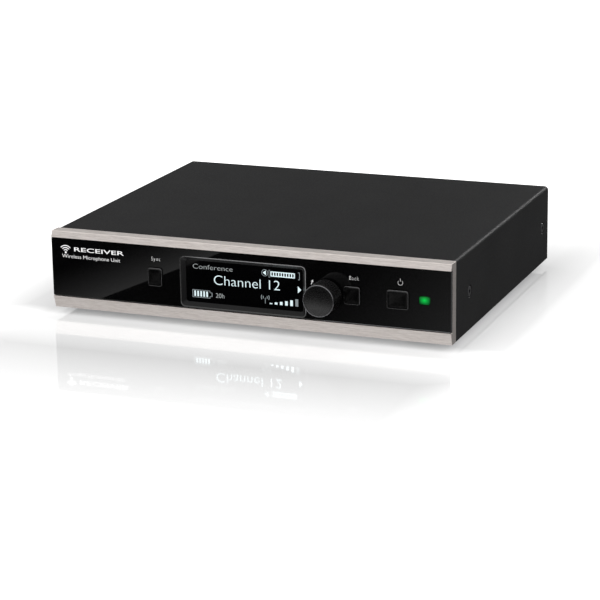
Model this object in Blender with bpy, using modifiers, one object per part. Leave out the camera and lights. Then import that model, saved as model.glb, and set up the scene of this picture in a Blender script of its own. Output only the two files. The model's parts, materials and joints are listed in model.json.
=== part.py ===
"""Half-rack wireless receiver: a metal box with a glossy control front and rear sockets.

Metres, +Z up, +Y to the back. The origin is on the floor, under the middle of the whole unit.
"""

import math

import bmesh
import bpy
from mathutils import Matrix, Vector

# Outside of the case
CASE_WIDTH = 0.212
CASE_HEIGHT = 0.0402
FOOT_HEIGHT = 0.0038
FRONT_Y = -0.082
SEAM_Y = -0.074
REAR_Y = 0.090
GAP = 0.0003

HALF = CASE_WIDTH / 2
BASE_Z = FOOT_HEIGHT
TOP_Z = FOOT_HEIGHT + CASE_HEIGHT

# Sheet metal
COVER_SHEET = 0.0012
COVER_BEND = 0.0020
TRAY_SHEET = 0.0015
TRAY_HALF = HALF - COVER_SHEET - GAP
TRAY_WALL_TOP = 0.0385
FLOOR_TOP = BASE_Z + TRAY_SHEET
TRAY_FRONT = SEAM_Y + 0.0004
REAR_SHEET = 0.0016
REAR_FACE_Y = 0.0840
REAR_INNER_Y = REAR_FACE_Y - REAR_SHEET
TRAY_REAR = REAR_INNER_Y - GAP
TAB_WIDTH = 0.011
LIP_TOP = 0.0118

# Front frame and panel
FRAME_REAR = SEAM_Y - 0.00015
PANEL_FRONT = FRONT_Y + 0.0002
PANEL_THICK = 0.0022
PANEL_REAR = PANEL_FRONT + PANEL_THICK
PANEL_HALF = HALF - 0.0001
PANEL_BOTTOM = BASE_Z + 0.0066
PANEL_TOP = BASE_Z + 0.0367
WEB_OPENING_HALF = 0.098
WEB_OPENING_BOTTOM = 0.0126
WEB_OPENING_TOP = 0.0386

# Display, centred a little left of the middle
DISPLAY_X = -0.0014
DISPLAY_Z = 0.0239
DISPLAY_OUTER = (0.0664, 0.0255)
DISPLAY_INNER = (0.0623, 0.0214)
WINDOW_THICK = 0.0012
WINDOW_FRONT = PANEL_REAR + GAP
WINDOW_SIZE = (0.0654, 0.0223)
RING_SIZE = (0.0710, 0.0250)
RING_Z = 0.02555
MODULE_SIZE = (0.0658, 0.0208)
MODULE_DEPTH = 0.0062

# Controls: x, z, width, height of each button cap
BUTTONS = {
    "pair": (-0.0483, 0.0249, 0.0075, 0.0093),
    "esc": (0.0562, 0.0247, 0.0082, 0.0090),
    "power": (0.0794, 0.0247, 0.0108, 0.0093),
}
BUTTON_PROUD = 0.0010
BUTTON_FLANGE = 0.0010
STEM_RADIUS = 0.0015
SWITCH_SIZE = 0.0074
SWITCH_DEPTH = 0.0050
KNOB_X = 0.0433
KNOB_Z = 0.0239
KNOB_RADIUS = 0.0080
KNOB_FRONT = FRONT_Y - 0.0125
KNOB_REAR = PANEL_FRONT - 0.0011
SHAFT_RADIUS = 0.0030
ENCODER_SIZE = 0.0124
LED_X = 0.0927
LED_Z = 0.0252
LED_SIZE = (0.0051, 0.0037)

# Boards
FRONT_BOARD_Y = (-0.0690, -0.0674)
FRONT_BOARD_HALF = 0.1024
FRONT_BOARD_Z = (0.0132, 0.0390)
POST_X = 0.1005
POST_Z = (0.0165, 0.0355)
MAIN_BOARD_HALF = 0.096
MAIN_BOARD_Y = (-0.052, 0.062)
MAIN_BOARD_Z = (0.0116, 0.0132)
BOARD_SCREW_X = 0.088
BOARD_SCREW_Y = (-0.044, 0.055)
STANDOFF_RADIUS = 0.0032
RIBBON_X = -0.060
RIBBON_WIDTH = 0.020
RIBBON_THICK = 0.0009
CAN_BOX = ((-0.066, -0.014), (0.004, 0.044), (0.0135, 0.0235))

# Rear sockets
SOCKET_Z = 0.0239
ANTENNA_X = 0.082
ANTENNA_END = 0.0945
XLR_X = -0.052
XLR_FLANGE = (0.026, 0.031)
XLR_SCREW = (0.0095, 0.0120)
JACK_X = -0.020
ETHERNET_X = 0.012
DC_X = 0.038
HOOK_X = 0.056

# Fasteners and feet
SIDE_SCREW_Y = (-0.0522, 0.0794)
SIDE_SCREW_Z = 0.0233
REAR_SCREW_X = 0.098
REAR_SCREW_Z = (0.0105, 0.0360)
FRAME_SCREW_X = 0.050
FRAME_SCREW_Z = 0.0085
FOOT_X = 0.080
FOOT_Y = (-0.050, 0.060)
FOOT_RADIUS = 0.0070

FORWARD = Matrix.Rotation(math.pi / 2, 4, 'X')
BACKWARD = Matrix.Rotation(-math.pi / 2, 4, 'X')
RIGHTWARD = Matrix.Rotation(math.pi / 2, 4, 'Y')
LEFTWARD = Matrix.Rotation(-math.pi / 2, 4, 'Y')
UPWARD = Matrix.Identity(4)
DOWNWARD = Matrix.Rotation(math.pi, 4, 'X')


def clear_scene():
    for item in list(bpy.data.objects):
        bpy.data.objects.remove(item, do_unlink=True)


def new_collection(name):
    collection = bpy.data.collections.new(name)
    bpy.context.scene.collection.children.link(collection)
    return collection


clear_scene()
PARTS = new_collection("wireless_receiver")
CUTTERS = new_collection("cutters")


def material(name, colour, roughness, metallic=0.0):
    paint = bpy.data.materials.new(name)
    paint.use_nodes = True
    shader = paint.node_tree.nodes["Principled BSDF"]
    shader.inputs["Base Color"].default_value = (*colour, 1.0)
    shader.inputs["Roughness"].default_value = roughness
    shader.inputs["Metallic"].default_value = metallic
    paint.diffuse_color = (*colour, 1.0)
    return paint


def new_object(name, mesh, group=None):
    item = bpy.data.objects.new(name, mesh)
    (group or PARTS).objects.link(item)
    return item


def finish(item, paint):
    item.data.materials.clear()
    item.data.materials.append(paint)
    return item


def as_tool(item):
    """Turn an object into a cutter: out of the parts, shown as wire."""
    for group in list(item.users_collection):
        group.objects.unlink(item)
    CUTTERS.objects.link(item)
    item.hide_render = True
    item.display_type = 'WIRE'
    return item


def combine(target, tool, operation):
    as_tool(tool)
    boolean = target.modifiers.new(operation.lower(), 'BOOLEAN')
    boolean.operation = operation
    boolean.solver = 'EXACT'
    boolean.object = tool


def cut(target, *tools):
    for tool in tools:
        combine(target, tool, 'DIFFERENCE')


def join(target, *tools):
    for tool in tools:
        combine(target, tool, 'UNION')


def box(name, xs, ys, zs):
    """Box between two limits on each axis, with its origin at its centre."""
    size = Vector((xs[1] - xs[0], ys[1] - ys[0], zs[1] - zs[0]))
    shape = bmesh.new()
    bmesh.ops.create_cube(shape, size=1.0)
    bmesh.ops.scale(shape, vec=size, verts=shape.verts)
    mesh = bpy.data.meshes.new(name)
    shape.to_mesh(mesh)
    shape.free()
    item = new_object(name, mesh)
    item.location = (sum(xs) / 2, sum(ys) / 2, sum(zs) / 2)
    return item


def centred_box(name, centre, size):
    limits = [(c - s / 2, c + s / 2) for c, s in zip(centre, size)]
    return box(name, *limits)


def rods(name, ends, radius, direction, length, sides=24):
    """One mesh of equal rods that start at the given ends and run the same way."""
    shape = bmesh.new()
    for end in ends:
        place = Matrix.Translation(end) @ direction @ Matrix.Translation((0, 0, length / 2))
        bmesh.ops.create_cone(
            shape, cap_ends=True, segments=sides, radius1=radius, radius2=radius,
            depth=length, matrix=place)
    mesh = bpy.data.meshes.new(name)
    shape.to_mesh(mesh)
    shape.free()
    return new_object(name, mesh)


def turned(name, profile, place, direction, steps=24):
    """Turned solid: (radius, height) pairs down the outside from the top, about local Z."""
    mesh = bpy.data.meshes.new(name)
    points = [(radius, 0.0, height) for radius, height in profile]
    edges = [(i, i + 1) for i in range(len(points) - 1)]
    if profile[0][0] > 0:
        edges.append((len(points) - 1, 0))
    mesh.from_pydata(points, edges, [])
    item = new_object(name, mesh)
    item.matrix_world = Matrix.Translation(place) @ direction
    screw = item.modifiers.new("turn", 'SCREW')
    screw.steps = steps
    screw.render_steps = steps
    screw.use_merge_vertices = True
    screw.merge_threshold = 0.00001
    return item


def bake(item):
    """Replace an object's mesh by its evaluated one and drop its modifiers."""
    bpy.context.view_layer.update()
    graph = bpy.context.evaluated_depsgraph_get()
    mesh = bpy.data.meshes.new_from_object(item.evaluated_get(graph))
    item.modifiers.clear()
    item.data = mesh
    return item


def extruded(name, outlines, limits, across):
    """Solid of a flat outline, with any holes. across X takes (y, z) points, across Y (x, z)."""
    curve = bpy.data.curves.new(name, 'CURVE')
    curve.dimensions = '2D'
    curve.fill_mode = 'BOTH'
    curve.extrude = (limits[1] - limits[0]) / 2
    for outline in outlines:
        spline = curve.splines.new('POLY')
        spline.points.add(len(outline) - 1)
        for point, (u, v) in zip(spline.points, outline):
            point.co = (u, v, 0.0, 1.0)
        spline.use_cyclic_u = True
    flat = new_object(name, curve)
    bpy.context.view_layer.update()
    graph = bpy.context.evaluated_depsgraph_get()
    mesh = bpy.data.meshes.new_from_object(flat.evaluated_get(graph))
    bpy.data.objects.remove(flat)
    middle = sum(limits) / 2
    if across == 'X':
        turn = Matrix(((0, 0, 1, middle), (1, 0, 0, 0), (0, 1, 0, 0), (0, 0, 0, 1)))
    else:
        turn = Matrix(((1, 0, 0, 0), (0, 0, -1, middle), (0, 1, 0, 0), (0, 0, 0, 1)))
    shape = bmesh.new()
    shape.from_mesh(mesh)
    bmesh.ops.remove_doubles(shape, verts=shape.verts, dist=0.000001)
    shape.transform(turn)
    bmesh.ops.recalc_face_normals(shape, faces=shape.faces)
    shape.to_mesh(mesh)
    shape.free()
    return new_object(name, mesh)


def arc(centre, radius, start, end, steps=5):
    angles = [math.radians(start + (end - start) * i / steps) for i in range(steps + 1)]
    return [(centre[0] + radius * math.cos(a), centre[1] + radius * math.sin(a)) for a in angles]


def rounded_rectangle(centre, size, radius, steps=4):
    half_u, half_v = size[0] / 2 - radius, size[1] / 2 - radius
    corners = [(half_u, half_v, 0), (-half_u, half_v, 90), (-half_u, -half_v, 180), (half_u, -half_v, 270)]
    outline = []
    for du, dv, start in corners:
        outline += arc((centre[0] + du, centre[1] + dv), radius, start, start + 90, steps)
    return outline


def bevel(item, width, segments=2):
    edge = item.modifiers.new("edge", 'BEVEL')
    edge.width = width
    edge.segments = segments
    edge.limit_method = 'ANGLE'
    edge.angle_limit = math.radians(40)


def smooth(item, angle=35):
    item.data.shade_smooth()
    item.data.set_sharp_from_angle(angle=math.radians(angle))


# Colours and finishes
DARK_COAT = material("dark_powder_coat", (0.022, 0.022, 0.024), 0.62, 0.3)
BARE_STEEL = material("zinc_plated_steel", (0.48, 0.48, 0.50), 0.45, 1.0)
CHAMPAGNE = material("brushed_champagne_aluminium", (0.56, 0.52, 0.48), 0.32, 1.0)
GLOSS_BLACK = material("gloss_black_panel", (0.006, 0.006, 0.008), 0.06)
SATIN_BLACK = material("satin_black_plastic", (0.020, 0.020, 0.022), 0.38)
SMOKED = material("smoked_window", (0.010, 0.010, 0.012), 0.04)
SCREEN = material("display_screen", (0.020, 0.024, 0.030), 0.20)
BOARD_GREEN = material("board_green", (0.015, 0.120, 0.050), 0.45)
NICKEL = material("nickel_plate", (0.62, 0.60, 0.56), 0.28, 1.0)
TIN = material("tin_plate", (0.60, 0.61, 0.62), 0.36, 1.0)
BLACK_ZINC = material("black_zinc", (0.030, 0.030, 0.032), 0.40, 0.8)
RUBBER = material("black_rubber", (0.015, 0.015, 0.015), 0.85)
GREEN_LENS = material("green_lens", (0.010, 0.520, 0.120), 0.25)
GREY_RIBBON = material("grey_ribbon", (0.380, 0.390, 0.400), 0.55)
COAX_JACKET = material("coax_jacket", (0.030, 0.026, 0.024), 0.50)
CREAM_PLASTIC = material("cream_plastic", (0.640, 0.600, 0.480), 0.50)


def make_top_cover():
    inner_bend = COVER_BEND - COVER_SHEET
    outer_right = arc((HALF - COVER_BEND, TOP_Z - COVER_BEND), COVER_BEND, 0, 90)
    outer_left = arc((COVER_BEND - HALF, TOP_Z - COVER_BEND), COVER_BEND, 90, 180)
    inner_left = arc((COVER_BEND - HALF, TOP_Z - COVER_BEND), inner_bend, 180, 90)
    inner_right = arc((HALF - COVER_BEND, TOP_Z - COVER_BEND), inner_bend, 90, 0)
    outline = [(HALF, BASE_Z)] + outer_right + outer_left + [(-HALF, BASE_Z)]
    outline += [(COVER_SHEET - HALF, BASE_Z)] + inner_left + inner_right + [(HALF - COVER_SHEET, BASE_Z)]
    cover = extruded("top_cover", [outline], (SEAM_Y + 0.00015, REAR_Y), 'Y')
    for side, outward in ((1, RIGHTWARD), (-1, LEFTWARD)):
        for y in SIDE_SCREW_Y:
            profile = [(0.0, 0.0010), (0.0044, 0.0010), (0.0018, -0.0016), (0.0, -0.0016)]
            place = (side * HALF, y, SIDE_SCREW_Z)
            cut(cover, turned("countersink", profile, place, outward))
    return finish(cover, DARK_COAT)


def tray_profile():
    outer = TRAY_HALF
    inner = TRAY_HALF - TRAY_SHEET
    bend = 0.0015
    left = arc((bend - outer, BASE_Z + bend), bend, 180, 270, 3)
    right = arc((outer - bend, BASE_Z + bend), bend, 270, 360, 3)
    outline = [(-outer, TRAY_WALL_TOP)] + left + right + [(outer, TRAY_WALL_TOP)]
    return outline + [(inner, TRAY_WALL_TOP), (inner, FLOOR_TOP), (-inner, FLOOR_TOP), (-inner, TRAY_WALL_TOP)]


def make_base_tray():
    tray = extruded("base_tray", [tray_profile()], (TRAY_FRONT, TRAY_REAR), 'Y')
    overlap = 0.0004
    join(tray, box(
        "front_lip", (-0.064, 0.064), (TRAY_FRONT, TRAY_FRONT + TRAY_SHEET), (FLOOR_TOP - overlap, LIP_TOP)))
    for side in (-1, 1):
        edges = sorted((side * (TRAY_HALF - overlap), side * (TRAY_HALF - TAB_WIDTH)))
        depths = (TRAY_REAR - TRAY_SHEET, TRAY_REAR)
        join(tray, box("rear_tab", edges, depths, (FLOOR_TOP - overlap, TRAY_WALL_TOP)))
    seats = [(side * BOARD_SCREW_X, y, FLOOR_TOP - overlap) for side in (-1, 1) for y in BOARD_SCREW_Y]
    standoff_height = MAIN_BOARD_Z[0] - GAP - FLOOR_TOP + overlap
    join(tray, rods("standoffs", seats, STANDOFF_RADIUS, UPWARD, standoff_height, 20))
    bores = [(x, y, FLOOR_TOP + 0.0004) for x, y, _ in seats]
    cut(tray, rods("standoff_bores", bores, 0.0015, UPWARD, 0.010, 16))
    feet = [(side * FOOT_X, y, BASE_Z - 0.001) for side in (-1, 1) for y in FOOT_Y]
    cut(tray, rods("foot_holes", feet, 0.0023, UPWARD, 0.004, 20))
    sides = [(-HALF, y, SIDE_SCREW_Z) for y in SIDE_SCREW_Y]
    cut(tray, rods("side_screw_holes", sides, 0.0018, RIGHTWARD, CASE_WIDTH, 16))
    rear = [(side * REAR_SCREW_X, TRAY_REAR - 0.003, z) for side in (-1, 1) for z in REAR_SCREW_Z]
    cut(tray, rods("rear_screw_holes", rear, 0.0018, BACKWARD, 0.005, 16))
    front = [(side * FRAME_SCREW_X, TRAY_FRONT - 0.001, FRAME_SCREW_Z) for side in (-1, 1)]
    cut(tray, rods("frame_screw_holes", front, 0.0018, BACKWARD, 0.004, 16))
    return finish(tray, BARE_STEEL)


def make_rear_panel():
    panel = box(
        "rear_panel", (-TRAY_HALF, TRAY_HALF), (REAR_INNER_Y, REAR_FACE_Y),
        (BASE_Z, TOP_Z - COVER_SHEET - GAP))
    start = REAR_INNER_Y - 0.001
    through = 0.004
    antennas = [(side * ANTENNA_X, start, SOCKET_Z) for side in (-1, 1)]
    cut(panel, rods("antenna_holes", antennas, 0.0051, BACKWARD, through))
    cut(panel, rods("xlr_hole", [(XLR_X, start, SOCKET_Z)], 0.0116, BACKWARD, through, 32))
    cut(panel, rods("jack_hole", [(JACK_X, start, SOCKET_Z)], 0.0054, BACKWARD, through))
    cut(panel, centred_box("ethernet_hole", (ETHERNET_X, REAR_FACE_Y, 0.02225), (0.0166, 0.010, 0.0141)))
    cut(panel, centred_box("dc_hole", (DC_X, REAR_FACE_Y, 0.0210), (0.0096, 0.010, 0.0116)))
    small = [(side * REAR_SCREW_X, start, z) for side in (-1, 1) for z in REAR_SCREW_Z]
    small += [(XLR_X + side * XLR_SCREW[0], start, SOCKET_Z + side * XLR_SCREW[1]) for side in (-1, 1)]
    small += [(HOOK_X, start, z) for z in (0.0170, 0.0290)]
    cut(panel, rods("screw_holes", small, 0.0018, BACKWARD, through, 16))
    return finish(panel, DARK_COAT)


def make_front_frame():
    lean, brow, tip = 0.0020, 0.0014, 0.0005
    brow_foot = PANEL_TOP + GAP
    slope = math.degrees(math.atan2(brow, TOP_Z - brow_foot))
    tip_centre = (FRONT_Y + brow + tip * math.tan(math.radians((90 - slope) / 2)), TOP_Z - tip)
    outline = [(FRAME_REAR, BASE_Z), (FRONT_Y + lean, BASE_Z), (FRONT_Y, BASE_Z + 0.0065), (FRONT_Y, brow_foot)]
    outline += arc(tip_centre, tip, 180 - slope, 90)
    outline += [(FRAME_REAR, TOP_Z)]
    frame = extruded("front_frame", [outline], (-HALF, HALF), 'X')
    cut(frame, box(
        "panel_seat", (-HALF - 0.001, HALF + 0.001), (FRONT_Y - 0.001, PANEL_REAR + GAP),
        (PANEL_BOTTOM - GAP, brow_foot)))
    cut(frame, box(
        "web_opening", (-WEB_OPENING_HALF, WEB_OPENING_HALF), (FRONT_Y - 0.001, SEAM_Y + 0.001),
        (WEB_OPENING_BOTTOM, WEB_OPENING_TOP)))
    post_length = FRONT_BOARD_Y[0] - GAP - FRAME_REAR
    posts = [(side * POST_X, FRAME_REAR - 0.0005, z) for side in (-1, 1) for z in POST_Z]
    join(frame, rods("posts", posts, 0.0022, BACKWARD, post_length + 0.0005, 20))
    join(frame, rods("pins", posts, 0.0012, BACKWARD, post_length + 0.0030, 12))
    screws = [(side * FRAME_SCREW_X, FRAME_REAR - 0.0045, FRAME_SCREW_Z) for side in (-1, 1)]
    cut(frame, rods("frame_screw_bores", screws, 0.0018, BACKWARD, 0.006, 16))
    return finish(frame, CHAMPAGNE)


def display_recess():
    """Frustum that narrows from the panel's front to the window behind it."""
    over = 0.0004
    slope_x = (DISPLAY_OUTER[0] - DISPLAY_INNER[0]) / PANEL_THICK
    slope_z = (DISPLAY_OUTER[1] - DISPLAY_INNER[1]) / PANEL_THICK
    near = (DISPLAY_OUTER[0] + slope_x * over, DISPLAY_OUTER[1] + slope_z * over)
    far = (DISPLAY_INNER[0] - slope_x * over, DISPLAY_INNER[1] - slope_z * over)
    shape = bmesh.new()
    rings = []
    for y, size, radius in ((PANEL_FRONT - over, near, 0.0022), (PANEL_REAR + over, far, 0.0010)):
        outline = rounded_rectangle((DISPLAY_X, DISPLAY_Z), size, radius)
        rings.append([shape.verts.new((u, y, v)) for u, v in outline])
    edges = []
    for ring in rings:
        edges += [shape.edges.new((ring[i - 1], ring[i])) for i in range(len(ring))]
    bmesh.ops.bridge_loops(shape, edges=edges)
    for ring in rings:
        shape.faces.new(ring)
    bmesh.ops.recalc_face_normals(shape, faces=shape.faces)
    mesh = bpy.data.meshes.new("display_recess")
    shape.to_mesh(mesh)
    shape.free()
    return new_object("display_recess", mesh)


def make_front_panel():
    panel = box(
        "front_panel", (-PANEL_HALF, PANEL_HALF), (PANEL_FRONT, PANEL_REAR), (PANEL_BOTTOM, PANEL_TOP))
    cut(panel, display_recess())
    depths = (PANEL_FRONT - 0.001, PANEL_REAR + 0.001)
    for name, (x, z, width, height) in BUTTONS.items():
        hole = rounded_rectangle((x, z), (width + 2 * GAP, height + 2 * GAP), 0.0012 + GAP)
        cut(panel, extruded(name + "_hole", [hole], depths, 'Y'))
    led = rounded_rectangle((LED_X, LED_Z), (LED_SIZE[0] + 2 * GAP, LED_SIZE[1] + 2 * GAP), 0.0008, 2)
    cut(panel, extruded("led_hole", [led], depths, 'Y'))
    cut(panel, rods("shaft_hole", [(KNOB_X, depths[0], KNOB_Z)], 0.0046, BACKWARD, 0.004))
    return finish(panel, GLOSS_BLACK)


def make_display():
    window_rear = WINDOW_FRONT + WINDOW_THICK
    window = centred_box(
        "display_window", (DISPLAY_X, WINDOW_FRONT + WINDOW_THICK / 2, DISPLAY_Z + 0.0002),
        (WINDOW_SIZE[0], WINDOW_THICK, WINDOW_SIZE[1]))
    ring_depths = (window_rear + GAP, FRONT_BOARD_Y[0] - GAP)
    outer = rounded_rectangle((DISPLAY_X, RING_Z), RING_SIZE, 0.0010, 2)
    ring_hole = (MODULE_SIZE[0] + 2 * GAP, MODULE_SIZE[1] + 2 * GAP)
    inner = rounded_rectangle((DISPLAY_X, RING_Z), ring_hole, 0.0005, 2)
    ring = extruded("display_holder", [outer, inner], ring_depths, 'Y')
    module_front = window_rear + GAP
    module = box(
        "display_module", (DISPLAY_X - MODULE_SIZE[0] / 2, DISPLAY_X + MODULE_SIZE[0] / 2),
        (module_front, module_front + MODULE_DEPTH), (RING_Z - MODULE_SIZE[1] / 2, RING_Z + MODULE_SIZE[1] / 2))
    finish(window, SMOKED)
    finish(ring, SATIN_BLACK)
    finish(module, SCREEN)


def make_front_board():
    board = box("front_board", (-FRONT_BOARD_HALF, FRONT_BOARD_HALF), FRONT_BOARD_Y, FRONT_BOARD_Z)
    rear = FRONT_BOARD_Y[1]
    header = (RIBBON_X - RIBBON_WIDTH / 2 - 0.001, RIBBON_X + RIBBON_WIDTH / 2 + 0.001)
    join(board, box("header", header, (rear - 0.0004, rear + 0.0030), (0.0150, 0.0190)))
    for x, width in ((-0.020, 0.012), (0.010, 0.016), (0.060, 0.010)):
        join(board, centred_box("chip", (x, rear + 0.0005, 0.026), (width, 0.0018, 0.010)))
    holes = [(side * POST_X, FRONT_BOARD_Y[0] - 0.001, z) for side in (-1, 1) for z in POST_Z]
    cut(board, rods("pin_holes", holes, 0.0015, BACKWARD, 0.004, 12))
    return finish(board, BOARD_GREEN)


def make_main_board():
    board = box("main_board", (-MAIN_BOARD_HALF, MAIN_BOARD_HALF), MAIN_BOARD_Y, MAIN_BOARD_Z)
    top = MAIN_BOARD_Z[1]
    sink = 0.0004
    header = (RIBBON_X - RIBBON_WIDTH / 2 - 0.001, RIBBON_X + RIBBON_WIDTH / 2 + 0.001)
    join(board, box("header", header, (-0.0500, -0.0460), (top - sink, top + 0.0045)))
    chips = (
        (-0.020, -0.030, 0.016, 0.016, 0.0014), (0.010, -0.028, 0.012, 0.020, 0.0020),
        (0.042, 0.000, 0.018, 0.018, 0.0014), (0.070, 0.020, 0.014, 0.014, 0.0080),
        (0.020, 0.020, 0.010, 0.012, 0.0030))
    for x, y, width, depth, height in chips:
        join(board, box(
            "chip", (x - width / 2, x + width / 2), (y - depth / 2, y + depth / 2), (top - sink, top + height)))
    cans = [(x, 0.046, top - sink) for x in (0.042, 0.056)]
    join(board, rods("capacitors", cans, 0.0045, UPWARD, 0.0100, 16))
    holes = [(side * BOARD_SCREW_X, y, MAIN_BOARD_Z[0] - 0.001) for side in (-1, 1) for y in BOARD_SCREW_Y]
    cut(board, rods("board_screw_holes", holes, 0.0016, UPWARD, 0.004, 16))
    return finish(board, BOARD_GREEN)


def make_shield_can():
    xs, ys, zs = CAN_BOX
    wall = 0.0006
    can = box("shield_can", xs, ys, zs)
    inside = [(low + wall, high - wall) for low, high in (xs, ys)]
    cut(can, box("can_inside", *inside, (zs[0] - 0.001, zs[1] - wall)))
    return finish(can, TIN)


def make_button(name, x, z, width, height):
    """Rounded cap with a retaining flange behind the panel and a stem into its switch."""
    cap = extruded(
        name + "_button", [rounded_rectangle((0, 0), (width, height), 0.0012)],
        (PANEL_FRONT - BUTTON_PROUD, PANEL_REAR + GAP + 0.0004), 'Y')
    bevel(cap, 0.0003)
    flange_front = PANEL_REAR + GAP
    flange = extruded(
        name + "_flange", [rounded_rectangle((0, 0), (width + 0.0018, height + 0.0018), 0.0012, 2)],
        (flange_front, flange_front + BUTTON_FLANGE), 'Y')
    switch_front = FRONT_BOARD_Y[0] - GAP - SWITCH_DEPTH
    stem_start = (0, flange_front + 0.0004, 0)
    stem = rods(name + "_stem", [stem_start], STEM_RADIUS, BACKWARD, switch_front + 0.0020 - stem_start[1], 16)
    for item in (cap, flange, stem):
        item.location = (x, 0, z)
    join(cap, flange, stem)
    bake(cap)
    cap.data.transform(Matrix.Translation((0, -PANEL_FRONT, 0)))
    cap.location = (x, PANEL_FRONT, z)
    finish(cap, GLOSS_BLACK)
    smooth(cap)


def make_switch(name, x, z):
    front = FRONT_BOARD_Y[0] - GAP - SWITCH_DEPTH
    switch = centred_box(
        name + "_switch", (x, front + SWITCH_DEPTH / 2, z), (SWITCH_SIZE, SWITCH_DEPTH, SWITCH_SIZE))
    cut(switch, rods(name + "_switch_bore", [(x, front - 0.001, z)], STEM_RADIUS + GAP, BACKWARD, 0.0042, 16))
    finish(switch, SATIN_BLACK)


def make_jog_dial():
    length = KNOB_REAR - KNOB_FRONT
    dish = 0.0004
    edge = 0.0005
    profile = [(0.0, -dish), (KNOB_RADIUS - 0.0014, -dish), (KNOB_RADIUS - 0.0009, 0.0)]
    profile += [(KNOB_RADIUS - edge, 0.0), (KNOB_RADIUS - 0.00015, -0.00015)]
    profile += [(KNOB_RADIUS, -edge), (KNOB_RADIUS, 0.0004 - length)]
    profile += [(KNOB_RADIUS - 0.0004, -length), (SHAFT_RADIUS + GAP, -length), (SHAFT_RADIUS + GAP, -0.0062)]
    profile += [(0.0, -0.0062)]
    knob = turned("jog_knob", profile, (KNOB_X, KNOB_FRONT, KNOB_Z), FORWARD, 48)
    smooth(bake(knob))
    finish(knob, GLOSS_BLACK)
    body_rear = FRONT_BOARD_Y[0] - GAP
    body_front = body_rear - 0.0060
    bore_end = body_rear - 0.0015
    shaft_front = KNOB_FRONT + 0.0062 + GAP
    shaft_rear = bore_end - 0.0038
    shaft = rods("encoder_shaft", [(0, 0, 0)], SHAFT_RADIUS, BACKWARD, shaft_rear - shaft_front)
    shaft.location = (KNOB_X, shaft_front, KNOB_Z)
    smooth(finish(shaft, NICKEL))
    plunger = rods("encoder_plunger", [(0, 0, 0)], 0.0027, BACKWARD, 0.0026)
    plunger.location = (KNOB_X, shaft_rear + GAP, KNOB_Z)
    finish(plunger, CREAM_PLASTIC)
    body = centred_box(
        "encoder_body", (KNOB_X, (body_front + body_rear) / 2, KNOB_Z), (ENCODER_SIZE, 0.0060, ENCODER_SIZE))
    bush_front = PANEL_REAR - 0.0010
    join(body, rods("bush", [(KNOB_X, bush_front, KNOB_Z)], 0.0042, BACKWARD, body_front + 0.001 - bush_front))
    bore_start = bush_front - 0.001
    bore = rods("bore", [(KNOB_X, bore_start, KNOB_Z)], SHAFT_RADIUS + GAP, BACKWARD, bore_end - bore_start)
    cut(body, bore)
    finish(body, TIN)


def make_status_led():
    lens = extruded(
        "status_led", [rounded_rectangle((LED_X, LED_Z), LED_SIZE, 0.0005, 2)],
        (PANEL_FRONT - 0.0001, PANEL_REAR + GAP + 0.0004), 'Y')
    collar_front = PANEL_REAR + GAP
    collar_size = (LED_SIZE[0] + 0.0018, 0.0010, LED_SIZE[1] + 0.0018)
    join(lens, centred_box("led_collar", (LED_X, collar_front + 0.0005, LED_Z), collar_size))
    pipe = (collar_front + 0.0005, FRONT_BOARD_Y[0] - GAP)
    join(lens, box("led_pipe", (LED_X - 0.0018, LED_X + 0.0018), pipe, (LED_Z - 0.0014, LED_Z + 0.0014)))
    return finish(lens, GREEN_LENS)


def make_ribbon_cable():
    """Flat cable in an S between the two board headers."""
    start = (FRONT_BOARD_Y[1] + 0.0030 + GAP, 0.0170)
    end = (-0.0500 - GAP, 0.0158)
    steps = 12
    upper, lower = [], []
    for i in range(steps + 1):
        t = i / steps
        y = start[0] + (end[0] - start[0]) * t
        z = start[1] + (end[1] - start[1]) * (3 * t * t - 2 * t ** 3) + 0.0016 * math.sin(math.pi * t) ** 2
        upper.append((y, z + RIBBON_THICK / 2))
        lower.append((y, z - RIBBON_THICK / 2))
    limits = (RIBBON_X - RIBBON_WIDTH / 2, RIBBON_X + RIBBON_WIDTH / 2)
    return finish(extruded("ribbon_cable", [upper + lower[::-1]], limits, 'X'), GREY_RIBBON)


def make_antenna_socket(name, x):
    """Bayonet socket for an aerial, with its inner hex flange and two locking lugs."""
    end = ANTENNA_END - REAR_FACE_Y
    flange_front = -REAR_SHEET - GAP
    core, bore, barrel, tail = 0.0020, 0.0041, 0.0048, 0.0020
    floor = 0.0012
    profile = [(0.0, end - 0.0025), (core, end - 0.0025), (core, floor), (bore, floor), (bore, end)]
    profile += [(barrel - 0.0002, end), (barrel, end - 0.0004), (barrel, flange_front - 0.0060)]
    profile += [(tail, flange_front - 0.0060), (tail, flange_front - 0.0100), (0.0, flange_front - 0.0100)]
    socket = turned(name, profile, (x, REAR_FACE_Y, SOCKET_Z), BACKWARD)
    hexagon = rods("hex_flange", [(x, REAR_FACE_Y + flange_front, SOCKET_Z)], 0.0080, FORWARD, 0.0028, 6)
    join(socket, hexagon)
    lugs = rods("lugs", [(x - 0.0057, REAR_FACE_Y + end - 0.0042, SOCKET_Z)], 0.0010, RIGHTWARD, 0.0114, 12)
    tube = rods("lug_clearance", [(x, REAR_FACE_Y, SOCKET_Z)], 0.0043, BACKWARD, 0.020)
    cut(lugs, tube)
    join(socket, lugs)
    contact = rods("contact_hole", [(x, REAR_FACE_Y + 0.0090, SOCKET_Z)], 0.0007, FORWARD, 0.0050, 12)
    cut(socket, contact)
    return finish(socket, NICKEL)


def make_antenna_nut(name, x):
    start = REAR_FACE_Y + GAP
    nut = rods(name, [(0, 0, 0)], 0.0080, BACKWARD, 0.0022, 6)
    nut.location = (x, start, SOCKET_Z)
    cut(nut, rods(name + "_bore", [(x, start - 0.001, SOCKET_Z)], 0.0048 + GAP, BACKWARD, 0.006))
    return finish(nut, NICKEL)


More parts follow.
